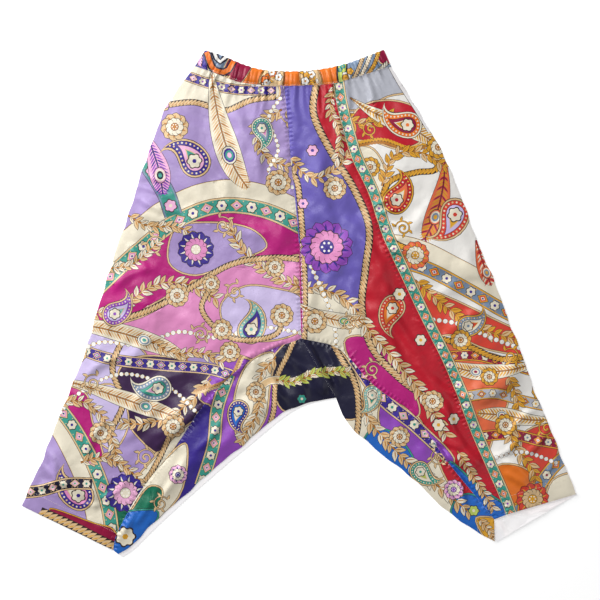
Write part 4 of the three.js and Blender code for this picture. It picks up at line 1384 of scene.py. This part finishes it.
LEFT_OUTER_PRINT = (
    Patch((54, 392, 166, 420, 196, 366, 150, 352, 104, 330, 66, 336), GREY),
    Patch((98, 330, 150, 346, 204, 330, 222, 290, 176, 262, 128, 274, 84, 284), CRIMSON),
    Patch((92, 262, 126, 262, 150, 214, 140, 160, 112, 200), CREAM),
    Patch((186, 30, 250, 12, 330, -26, 380, -52, 392, -86, 320, -78, 262, -54, 220, -50), VERMILION),
    Patch((226, -66, 288, -84, 344, -104, 356, -160, 332, -222, 314, -258, 290, -215), CORAL),
    Patch((380, -222, 430, -206, 440, -250, 416, -296, 384, -282), VERMILION),
    Patch((330, -282, 376, -276, 420, -318, 402, -360, 344, -360), ORANGE),
    Patch((430, -300, 480, -290, 480, -350, 420, -350), CREAM),
    Ribbon((128, 104, 200, 92, 270, 58, 330, 26, 372, 6), 34, CREAM, SAND, 0.8),
    FlowerBand((150, 76, 214, 60, 280, 26, 340, -8, 384, -30), 24, SLATE, GOLD, VERMILION, CREAM, INDIGO),
    FlowerBand((236, -92, 300, -88, 360, -104, 410, -118), 18, WINE, GOLD, CORAL, CREAM, SLATE),
    FlowerBand((280, -158, 330, -152, 382, -166, 430, -176), 18, GREY, GOLD, WINE, CREAM, GOLD),
    FlowerBand((306, -226, 360, -222, 404, -232, 450, -240), 18, WINE, GOLD, CORAL, CREAM, SLATE),
    FlowerBand((352, -372, 392, -330, 428, -282, 462, -250), 22, SLATE, GOLD, VERMILION, CREAM, WINE),
    Garland((70, 316, 110, 306, 160, 318, 214, 300), 19, GOLD, SAND),
    Garland((196, 40, 250, -6, 300, -40, 372, -62), 19, GOLD, SAND),
    Garland((352, -120, 372, -170, 360, -230, 400, -290, 380, -340), 18, GOLD, SAND),
    Braid((86, 268, 140, 276, 190, 262, 240, 282), 10, GOLD, OCHRE),
    Cord((236, 262, 232, 228, 196, 222, 150, 204, 140, 150, 156, 108, 190, 90), 10, GOLD, OCHRE),
    Cord((228, -58, 282, -70, 340, -94, 400, -88), 10, GOLD, OCHRE),
    Pearls((212, -26, 268, -34, 330, -60, 388, -80), 8, IVORY, OCHRE),
    Pearls((330, -262, 380, -252, 440, -272), 7, IVORY, OCHRE),
    Feather((86, 350, 130, 322, 186, 300, 232, 272), 30, CREAM, GOLD, OCHRE, (CRIMSON, GOLD, CREAM)),
    Feather((248, 250, 244, 200, 232, 150, 212, 108), 34, CORAL, GOLD, WINE, (CREAM, SLATE, GOLD)),
    Feather((300, 108, 312, 70, 326, 30), 26, CORAL, CREAM, CRIMSON, (CREAM, SLATE, GOLD)),
    Feather((420, -96, 360, -112, 300, -116, 250, -104), 25, CREAM, GOLD, OCHRE, (SLATE, CREAM, WINE)),
    Feather((446, -196, 396, -198, 348, -190, 302, -186), 24, CREAM, GOLD, OCHRE, (SLATE, CREAM, WINE)),
    Garland((140, 200, 160, 250, 206, 256, 250, 232), 17, GOLD, SAND),
    Paisley((176, 190), 84, 0.9, CRIMSON, GOLD, CORAL, CREAM),
    Paisley((258, 132), 96, 4.4, VERMILION, SAND, PALE_LILAC, GOLD, -0.9),
    Paisley((166, 306), 84, 3.0, ORANGE, CREAM, WINE, GOLD, -0.9),
    Paisley((300, -34), 66, 0.3, SLATE, GOLD, CREAM, VERMILION),
    Rosette((196, 82), 24, 11, CORAL, CREAM, GOLD), Rosette((396, -332), 28, 12, VERMILION, SAND, GOLD),
    Rosette((236, 266), 20, 10, GOLD, CREAM, OCHRE), Rosette((350, -206), 18, 10, GOLD),
    Rosette((412, -148), 17, 10, GOLD), Rosette((274, -62), 18, 10, GOLD, CREAM),
    Rosette((120, 232), 17, 10, GOLD, CREAM), Rosette((322, -124), 15, 9, GOLD, CREAM),
    Curl((120, 296), 13, 0.4, 1, GOLD), Curl((360, -90), 13, 2.4, -1, GOLD),
    Curl((420, -212), 13, 1.4, 1, GOLD), Curl((176, 128), 12, 3.0, -1, GOLD),
    Ribbon((154, 404, 172, 372, 199, 330, 222, 292), 7, WRONG_SIDE, IVORY, 0.6),
    FlowerBand((66, 378, 71, 344, 81, 303, 98, 248, 126, 189, 150, 116, 187, 36, 222, -37, 250, -92, 274,
        -148, 295, -204, 318, -258, 349, -328, 362, -366), 19, TEAL, SAND, CORAL, CREAM, VIOLET),
)
RIGHT_GUSSET_PRINT = (
    Patch((20, -50, 70, -160, 20, -190, -30, -180, -46, -130, -40, -84), NAVY),
    Patch((-44, -84, -50, -140, -60, -200, -100, -240, -112, -170, -90, -104), CREAM),
    Patch((-168, -170, -140, -200, -160, -300, -240, -370, -250, -300, -210, -240), INDIGO),
    Patch((-214, -250, -190, -246, -206, -330, -286, -400, -290, -340), CREAM),
    Patch((-258, -312, -232, -322, -262, -380, -320, -440, -330, -400, -296, -366), EMERALD),
    Patch((-306, -364, -268, -350, -240, -362, -296, -444, -334, -430), COBALT, TEAL, 2.4),
    Floret((-296, -396), 17, 7, CREAM, GOLD),
    FlowerBand((-120, -120, -140, -180, -146, -240, -168, -310), 22),
    Garland((-40, -90, -70, -130, -70, -180, -100, -236), 18),
    Cord((-56, -222, -44, -182, -40, -130, -20, -86, -4, -50), 9),
    Paisley((-108, -196), 66, 4.4, INDIGO, SAND, COBALT, CREAM),
    Rosette((-206, -290), 16, 9, ROSE, CREAM, INDIGO),
    Ribbon((-72, -146, -48, -130, -10, -132, 30, -116, 80, -112), 13, SAND, CREAM, 1.4),
    Garland((-40, -130, -6, -132, 28, -118, 70, -114), 15, LIME, CREAM), Rosette((-74, -150), 17),
    Floret((4, -162), 8, 6, TEAL, CREAM), Curl((-236, -340), 12, 0.5),
)
LEFT_GUSSET_PRINT = (
    Patch((-6, -50, 52, -66, 96, -120, 104, -190, 56, -190, 20, -140), NAVY),
    Patch((150, -150, 196, -190, 232, -250, 200, -280, 160, -250, 134, -196), VIOLET),
    Patch((120, -216, 160, -220, 196, -270, 176, -310, 110, -260), COBALT, TEAL),
    Patch((228, -232, 262, -262, 340, -360, 350, -400, 300, -352, 250, -300), CRIMSON),
    Patch((268, -330, 304, -330, 350, -400, 330, -420, 262, -370), COBALT, TEAL),
    FlowerBand((92, -92, 140, -160, 196, -206, 256, -262), 24, INDIGO, SAND, ROSE, CREAM, TEAL),
    Garland((100, -150, 120, -200, 176, -262, 236, -310, 290, -356), 20),
    Cord((50, -56, 70, -92, 96, -140, 100, -200, 92, -240), 10),
    Paisley((214, -296), 64, 5.4, TEAL, SAND, CREAM, LIME),
    Paisley((122, -168), 60, 4.6, SEA, SAND, CREAM, TEAL, -0.9), Rosette((170, -226), 18),
    Rosette((262, -316), 17, 10, ROSE, CREAM, VIOLET),
    Ribbon((20, -122, 50, -114, 84, -116), 13, SAND, CREAM, 1.4),
    Garland((24, -122, 50, -116, 84, -116), 15, LIME, CREAM), Curl((236, -262), 12, 2.0),
    Floret((296, -352), 9, 6, LIME, CREAM),
    Patch((300, -364, 352, -372, 346, -414, 322, -408), GOLD, SAND, 2.0),
    Garland((304, -366, 322, -384, 330, -402), 12, SAND, CREAM),
)
WAISTBAND_PRINT = (
    Patch((-200, 448, -146, 444, -142, 404, -156, 376, -200, 380), INDIGO, SAND, 1.6),
    Patch((-152, 440, -112, 424, -118, 380, -152, 386), SLATE, CREAM, 1.6),
    Patch((-112, 426, -78, 414, -104, 370, -134, 378), WINE, SAND, 1.2),
    Patch((-56, 402, -28, 400, -32, 366, -70, 366), SAND, OCHRE, 1.6),
    Patch((2, 402, 30, 400, 38, 366, 6, 366), SAND, OCHRE, 1.6),
    Patch((66, 410, 86, 416, 96, 376, 68, 372), LIME, NAVY, 1.6),
    Patch((84, 416, 140, 438, 154, 398, 92, 374), SLATE, NAVY, 1.6),
    Patch((128, 436, 150, 442, 160, 414, 138, 408), WINE, SAND, 1.6),
    Ribbon((-158, 428, -146, 398, -124, 394, -112, 412), 12, ORANGE, NAVY),
    Ribbon((-148, 434, -136, 410, -122, 424), 9, IVORY, NAVY),
    Cord((-176, 384, -158, 392, -142, 384, -118, 384), 7, SAND, NAVY),
    Cord((-168, 424, -170, 404), 8, ROSE, VIOLET), Garland((-68, 372, -48, 386, -34, 400), 12, GOLD, IVORY),
    Garland((34, 370, 18, 384, 4, 400), 12, GOLD, IVORY), Scatter((-47, 384), 13, 7, 6, (IVORY, ORANGE), 7),
    Scatter((18, 384), 13, 7, 6, (IVORY, GOLD), 8), Scatter((76, 394), 11, 8, 5, (TEAL, GOLD, IVORY), 9),
    Cord((88, 376, 100, 398, 110, 426), 7, SAND, NAVY), Cord((100, 380, 112, 402, 124, 432), 7, CREAM, OCHRE),
    Cord((114, 386, 128, 408, 136, 434), 7, GOLD, NAVY), Cord((128, 390, 150, 410), 7, CREAM, SLATE),
)


def wavy(points: Sequence[Point], seed: float) -> np.ndarray:
    """A smooth path through some points that wavers slightly, as the edge of soft cloth does."""
    path = resample(smooth_path(points), 4)
    along = lengths_along(path)
    sway = 1.3 * np.sin(along / 13 + seed) * np.sin(along / 37 + 2 * seed)
    sway += 0.5 * np.sin(along / 6.1 + 3 * seed)
    fade = smoothstep(along / 15) * smoothstep((along[-1] - along) / 15)
    return path + (sway * fade)[:, None] * leftward(path)


def front_panels() -> list[Panel]:
    """The front's legs and gussets."""
    right_side, left_side = wavy(RIGHT_SIDE, 1), wavy(LEFT_SIDE, 2)
    rise, seam = smooth_path(RISE), smooth_path(PANEL_SEAM)
    right_gusset, left_gusset = smooth_path(RIGHT_GUSSET), smooth_path(LEFT_GUSSET)
    right_inner, left_inner = wavy(RIGHT_INNER, 3), wavy(LEFT_INNER, 4)
    right_centre = np.vstack([rise[:-1], right_gusset])
    left_centre = np.vstack([rise[:-1], left_gusset])
    gusset_seam = np.vstack([right_gusset[::-1], left_gusset[1:]])
    inner_edge = np.vstack([right_inner[::-1], left_inner[1:]])
    return [
        Panel("front_right_leg", "printed_satin_right", Side(right_side, False), Side(right_centre, True),
              LAVENDER, RIGHT_LEG_PRINT, (0.56, 0.88), (0, 4)),
        Panel("front_left_inner", "printed_satin_inner", Side(left_centre, True), Side(seam, True),
              PERIWINKLE, LEFT_INNER_PRINT, (0.20, 0.82), (4, 6)),
        Panel("front_left_outer", "printed_satin_outer", Side(seam, True), Side(left_side, False),
              IVORY, LEFT_OUTER_PRINT, (0.24, 0.82), (6, 9)),
        Panel("front_right_gusset", "printed_satin_gusset", Side(right_gusset, True, gusset_seam),
              Side(right_inner, False, inner_edge), VIOLET, RIGHT_GUSSET_PRINT, (0.12, 0.50)),
        Panel("front_left_gusset", "printed_satin_gusset", Side(left_inner, False, inner_edge),
              Side(left_gusset, True, gusset_seam), CREAM, LEFT_GUSSET_PRINT, (0.12, 0.48)),
    ]


def add_node(tree: bpy.types.NodeTree, kind: str, **values: object) -> bpy.types.Node:
    """A new node with values on its inputs, whose names are given with _ for each space."""
    node = tree.nodes.new(kind)
    for label, value in values.items():
        node.inputs[label.replace("_", " ")].default_value = value
    return node


def join(tree: bpy.types.NodeTree, *links: tuple[bpy.types.Node, str, bpy.types.Node, str]) -> None:
    """Joins a node's output to a node's input for each row of node, output, node and input."""
    for giver, output, taker, entry in links:
        tree.links.new(giver.outputs[output], taker.inputs[entry])


def new_tree(name: str, kind: str, inputs: dict[str, str], output: dict[str, str]) -> bpy.types.NodeTree:
    """A node tree with named inputs and outputs.

    Args:
        name: the tree's name.
        kind: the tree's type.
        inputs: socket type for each input's name.
        output: socket type for each output's name.

    Returns:
        The tree, with a Group Input and a Group Output node in it.
    """
    tree = bpy.data.node_groups.new(name, kind)
    for way, sockets in (("INPUT", inputs), ("OUTPUT", output)):
        for label, socket in sockets.items():
            tree.interface.new_socket(label, in_out=way, socket_type=f"NodeSocket{socket}")
    tree.nodes.new("NodeGroupInput")
    tree.nodes.new("NodeGroupOutput")
    return tree


def satin_relief() -> bpy.types.NodeTree:
    """Relief of soft satin: broad hand-smoothed ripples, small dents and the fine weave."""
    group = new_tree("satin relief", "ShaderNodeTree", {"Ripple": "Float", "Weave": "Float"},
                     {"Normal": "Vector", "Mottle": "Float"})
    into, out = group.nodes["Group Input"], group.nodes["Group Output"]
    place = add_node(group, "ShaderNodeTexCoord")
    last = None
    for scale, distance, strength in RELIEF:
        noise = add_node(group, "ShaderNodeTexNoise", Scale=scale, Detail=1.5, Distortion=0.6)
        bump = add_node(group, "ShaderNodeBump", Distance=distance)
        join(group, (place, "Object", noise, "Vector"), (into, strength, bump, "Strength"),
             (noise, "Fac", bump, "Height"))
        if last:
            join(group, (last, "Normal", bump, "Normal"))
        else:
            join(group, (noise, "Fac", out, "Mottle"))
        last = bump
    join(group, (last, "Normal", out, "Normal"))
    return group


def new_material(name: str, **values: object) -> tuple[bpy.types.Material, bpy.types.Node]:
    """A new material and its shader, with values on the shader's own inputs."""
    material = bpy.data.materials.new(name)
    material.use_nodes = True
    surface = material.node_tree.nodes["Principled BSDF"]
    for label, value in values.items():
        surface.inputs[label.replace("_", " ")].default_value = value
    return material, surface


@dataclass(frozen=True)
class Satin:
    """One side of the satin, which takes its colour from the mesh."""

    name: str
    roughness: float
    ripple: float  # strength of the broad ripples
    dulling: float = 0.0  # share by which the colour turns to pale, as on the wrong side
    # glow is painted light: a white emission that stands in for the bright floor's light shining through the
    # cloth
    glow: float = 0.0  # light of the bright floor that comes through the cloth
    sheen: float = 0.1
    gloss: float = 0.4
    weave: float = 0.25

    def material(self, relief: bpy.types.NodeTree) -> bpy.types.Material:
        """The finish as a material, with the relief's node group in it."""
        material, surface = new_material(
            self.name, Sheen_Weight=self.sheen, Sheen_Roughness=0.4, Specular_IOR_Level=self.gloss,
            Emission_Color=(1, 1, 1, 1), Emission_Strength=self.glow)
        tree = material.node_tree
        colour = add_node(tree, "ShaderNodeVertexColor")
        colour.layer_name = "print"
        group = add_node(tree, "ShaderNodeGroup")
        group.node_tree = relief
        group.inputs["Ripple"].default_value = self.ripple
        group.inputs["Weave"].default_value = self.weave
        pale = add_node(tree, "ShaderNodeMix")
        pale.data_type = "RGBA"
        pale.inputs["Factor"].default_value = self.dulling
        pale.inputs["B"].default_value = WRONG_SIDE.linear
        shade = add_node(tree, "ShaderNodeHueSaturation")
        tone = add_node(tree, "ShaderNodeMapRange", To_Min=0.95, To_Max=1.05)
        rough = add_node(
            tree, "ShaderNodeMapRange", To_Min=self.roughness - 0.05, To_Max=self.roughness + 0.06)
        join(tree, (colour, "Color", pale, "A"), (pale, "Result", shade, "Color"),
             (group, "Mottle", tone, "Value"), (tone, "Result", shade, "Value"),
             (shade, "Color", surface, "Base Color"), (group, "Mottle", rough, "Value"),
             (rough, "Result", surface, "Roughness"), (group, "Normal", surface, "Normal"))
        return material


@dataclass(frozen=True)
class Matt:
    """A plain matt finish."""

    name: str
    colour: tuple[float, float, float, float]
    roughness: float
    glow: float = 0.0

    def material(self) -> bpy.types.Material:
        """The finish as a material."""
        values = {"Emission_Color": (1, 1, 1, 1), "Emission_Strength": self.glow} if self.glow else {}
        return new_material(self.name, Base_Color=self.colour, Roughness=self.roughness, **values)[0]


RIGHT_SIDE_SATIN = Satin("satin print", roughness=0.38, ripple=0.8)
# The wrong side's glow is painted light, a white emission in place of the floor's light through the cloth
WRONG_SIDE_SATIN = Satin("satin wrong side", roughness=0.6, ripple=0.4, dulling=0.3, glow=0.2)
THREAD = Matt("thread", CREAM.linear, 0.7)
FLOOR_WHITE = Matt("studio white", (0.93, 0.93, 0.93, 1), 0.9, FLOOR_GLOW)


def stitch_tree() -> bpy.types.NodeTree:
    """Geometry nodes that lay short stitches of thread along a line."""
    inputs = {"Geometry": "Geometry", **dict.fromkeys(STITCH, "Float"), "Thread": "Material"}
    tree = new_tree("stitches", "GeometryNodeTree", inputs, {"Geometry": "Geometry"})
    into, out = tree.nodes["Group Input"], tree.nodes["Group Output"]
    curve = add_node(tree, "GeometryNodeMeshToCurve")
    spaced = add_node(tree, "GeometryNodeResampleCurve")
    spaced.mode = "LENGTH"
    ball = add_node(tree, "GeometryNodeMeshIcoSphere", Subdivisions=2, Radius=0.5)
    tangent = add_node(tree, "GeometryNodeInputTangent")
    turn = add_node(tree, "FunctionNodeAlignRotationToVector")
    turn.axis = "X"
    size = add_node(tree, "ShaderNodeCombineXYZ")
    lay = add_node(tree, "GeometryNodeInstanceOnPoints")
    real = add_node(tree, "GeometryNodeRealizeInstances")
    dress = add_node(tree, "GeometryNodeSetMaterial")
    join(tree, (into, "Geometry", curve, "Mesh"), (curve, "Curve", spaced, "Curve"),
         (into, "Pitch", spaced, "Length"), (spaced, "Curve", lay, "Points"), (ball, "Mesh", lay, "Instance"),
         (tangent, "Tangent", turn, "Vector"), (turn, "Rotation", lay, "Rotation"),
         (into, "Length", size, "X"), (into, "Thickness", size, "Y"), (into, "Thickness", size, "Z"),
         (size, "Vector", lay, "Scale"), (lay, "Instances", real, "Geometry"),
         (real, "Geometry", dress, "Geometry"), (into, "Thread", dress, "Material"),
         (dress, "Geometry", out, "Geometry"))
    return tree


def stitched(
    name: str, line: np.ndarray, tree: bpy.types.NodeTree, thread: bpy.types.Material
) -> bpy.types.Object:
    """Stitches along a line.

    Args:
        name: the piece's name.
        line: the line's places in millimetres, with their heights.
        tree: the stitches' node tree.
        thread: the thread's material.

    Returns:
        The new object, with the stitches as its mesh.
    """
    mesh = bpy.data.meshes.new(name)
    mesh.from_pydata((line * MM).tolist(), [(index, index + 1) for index in range(len(line) - 1)], [])
    piece = bpy.data.objects.new(name, mesh)
    bpy.context.collection.objects.link(piece)
    modifier = piece.modifiers.new("stitches", "NODES")
    modifier.node_group = tree
    settings = {name: size * MM for name, size in STITCH.items()} | {"Thread": thread}
    for item in tree.interface.items_tree:
        if item.name in settings:
            modifier[item.identifier] = settings[item.name]
    bpy.context.view_layer.update()
    made = bpy.data.meshes.new_from_object(piece.evaluated_get(bpy.context.evaluated_depsgraph_get()))
    piece.modifiers.clear()
    piece.data = made
    return piece


def inset(line: np.ndarray, distance: float, ends: float) -> np.ndarray:
    """A line moved to its left by a distance, with both ends cut back."""
    path = resample(line, 4)
    moved = path + distance * leftward(path)
    along = lengths_along(moved)
    return moved[(along > ends) & (along < along[-1] - ends)]


def laid(line: np.ndarray, height: Height) -> np.ndarray:
    """A line of stitches laid on the cloth."""
    return np.column_stack([line, height(line) + STITCH_LIFT])


def area_of(outline: np.ndarray) -> float:
    """Area of a closed outline, in square metres."""
    x, y = outline[:, 0], outline[:, 1]
    return abs(float(np.dot(x, np.roll(y, -1)) - np.dot(y, np.roll(x, -1)))) / 2 * MM**2


@dataclass(frozen=True)
class Flat:
    """A cut piece of the back, which lies flat under the front."""

    node: str
    outline: np.ndarray
    ground: Dye
    motifs: Sequence[Motif]
    cut: tuple[float, float]  # width and length of the cloth it was cut from, in metres

    def build(self, finishes: Finishes) -> bpy.types.Object:
        """The piece's cloth, in its node's place."""
        outline = shrunk(self.outline, BACK_GAP)
        shapes = shapes_for(self.motifs, outline)
        cloth = Cloth(f"{self.node}_cloth", outline, shapes, self.ground, UNDER_STEP)
        piece = cloth.double(0.0, BACK_CLOTH, finishes)
        attach(piece, self.node, "printed_satin_back")
        area_of(outline) * BACK_RISE
        return piece


def lowered(path: np.ndarray, end: Point) -> np.ndarray:
    """A path whose last stretch drops to a new end."""
    share = smoothstep((np.linspace(0, 1, len(path)) - 0.62) / 0.38)
    return path + share[:, None] * (np.array(end) - path[-1])


def back_panels() -> list[Flat]:
    """The back's legs and gussets."""
    right_side, left_side = wavy(RIGHT_SIDE, 1), wavy(LEFT_SIDE, 2)
    rise = smooth_path(RISE)
    right_gusset, left_gusset = smooth_path(RIGHT_GUSSET), smooth_path(LEFT_GUSSET)
    right_inner, left_inner = smooth_path(RIGHT_INNER), smooth_path(LEFT_INNER)
    outward = right_inner - right_gusset
    outward /= np.linalg.norm(outward, axis=1)[:, None]
    growth = smoothstep(np.linspace(0, 4, len(right_inner)))
    peeking = right_inner + outward * BACK_PEEK * growth[:, None]
    left_gusset_low = lowered(left_gusset, LEFT_BACK_HEM["gusset"])
    left_inner_low = lowered(left_inner, LEFT_BACK_HEM["inner"])
    left_side_low = lowered(left_side, LEFT_BACK_HEM["side"])
    right_top, left_top = WAIST.seam(0, 4), WAIST.seam(4, 9)
    right_leg = np.vstack([right_side[:-1], right_gusset[::-1], rise[::-1][1:-1], right_top[::-1][:-1]])
    left_leg = np.vstack([rise[:-1], left_gusset_low, left_side_low[::-1][:-1], left_top[::-1][:-1]])
    right_crotch = np.vstack([right_gusset, peeking[::-1]])
    left_crotch = np.vstack([left_inner_low, left_gusset_low[::-1]])
    leg_print = (
        Patch((-300, 200, 300, 220, 380, -60, 0, -90, -380, -60), PINK),
        Patch((-440, -150, -250, -120, -280, -380, -480, -340), PLUM),
        Patch((230, -100, 440, -100, 480, -320, 320, -340), CORAL),
        FlowerBand((-330, 60, -100, 160, 100, 170, 330, 60), 30),
        Rosette((-200, 0), 34), Rosette((180, 20), 34),
        Paisley((-90, 300), 110, 2.2), Paisley((100, 300), 110, 0.6),
    )
    return [
        Flat("back_right_leg", right_leg, LAVENDER, leg_print, (0.56, 0.88)),
        Flat("back_left_leg", left_leg, IVORY, leg_print, (0.66, 0.84)),
        Flat("back_right_gusset", right_crotch, VIOLET, RIGHT_GUSSET_PRINT[:5], (0.13, 0.50)),
        Flat("back_left_gusset", left_crotch, CREAM, LEFT_GUSSET_PRINT[:5], (0.13, 0.48)),
    ]


def shrunk(outline: np.ndarray, distance: float) -> np.ndarray:
    """An outline drawn in by a small distance, against the clock."""
    loop = outline[np.linalg.norm(outline - np.roll(outline, 1, axis=0), axis=1) > 0.05]
    run = np.roll(loop, -1, axis=0) - np.roll(loop, 1, axis=0)
    run /= np.maximum(np.linalg.norm(run, axis=1), 1e-9)[:, None]
    return loop + distance * np.stack([-run[:, 1], run[:, 0]], axis=1)


def attach(piece: bpy.types.Object, node: str, slot: str) -> None:
    """Puts a piece in its CAD node's place."""
    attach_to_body(piece, "root")
    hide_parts(node)


def report(piece: bpy.types.Object) -> bpy.types.Object:
    """Logs a finished piece, and hands it on."""
    LOG.info("%s: %d faces", piece.name, len(piece.data.polygons))
    return piece


def build_garment(finishes: Finishes) -> None:
    """Makes the cloth of the back, the front and the casing."""
    backs = [report(flat.build(finishes)) for flat in back_panels()]
    backs.append(report(WAIST.build_back(finishes)))
    for panel in front_panels():
        report(panel.build(finishes, backs))
    report(WAIST.build_front(finishes, backs[-1]))


def build_stitches(thread: bpy.types.Material) -> None:
    """Rows of stitches at the hems and along the casing."""
    tree = stitch_tree()
    for panel in front_panels():
        line = inset(panel.bottom, HEM_ROW, 2.0)
        if len(line) < 3:
            continue
        row = stitched(f"{panel.node}_hem_stitches", laid(line, panel.height), tree, thread)
        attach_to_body(row, "root")
        report(row)
    middle = (1 - CASING_ROW) * WAIST.high + CASING_ROW * WAIST.low
    row = stitched("casing_stitches", laid(resample(middle, 1.2)[3:-3], WAIST.casing_height), tree, thread)
    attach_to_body(row, "root")
    report(row)


def build_stage() -> None:
    """A white studio floor."""
    bpy.ops.mesh.primitive_plane_add(size=6)
    floor = bpy.context.object
    floor.name = "floor"
    floor.data.materials.append(FLOOR_WHITE.material())


def area_light(name: str, place: tuple[float, float, float], size: float, power: float) -> None:
    """A square soft light that faces the middle of the garment."""
    data = bpy.data.lights.new(name, "AREA")
    data.shape = "SQUARE"
    data.size = size
    data.energy = power
    light = bpy.data.objects.new(name, data)
    light.location = place
    light.rotation_euler = (-Vector(place)).to_track_quat("-Z", "Y").to_euler()
    bpy.context.collection.objects.link(light)


def build_view() -> None:
    """The camera straight above, the soft studio light and the plain colour transform."""
    scene = bpy.context.scene
    data = bpy.data.cameras.new("overhead")
    data.lens, data.sensor_width = LENS
    camera = bpy.data.objects.new("overhead", data)
    camera.location = CAMERA_PLACE
    bpy.context.collection.objects.link(camera)
    scene.camera = camera
    world = bpy.data.worlds.new("studio")
    world.use_nodes = True
    sky = world.node_tree.nodes["Background"]
    sky.inputs["Color"].default_value = (1, 1, 1, 1)
    sky.inputs["Strength"].default_value = SKY
    scene.world = world
    for light in LIGHTS:
        area_light(*light)
    scene.view_settings.view_transform = "Standard"
    scene.view_settings.look = "None"


def main() -> None:
    """Builds the garment, its stage and its light."""
    logging.basicConfig(level=logging.INFO, format="%(message)s")
    relief = satin_relief()
    build_garment([satin.material(relief) for satin in (RIGHT_SIDE_SATIN, WRONG_SIDE_SATIN)])
    build_stitches(THREAD.material())
    build_stage()
    build_view()


if __name__ == "__main__":
    main()
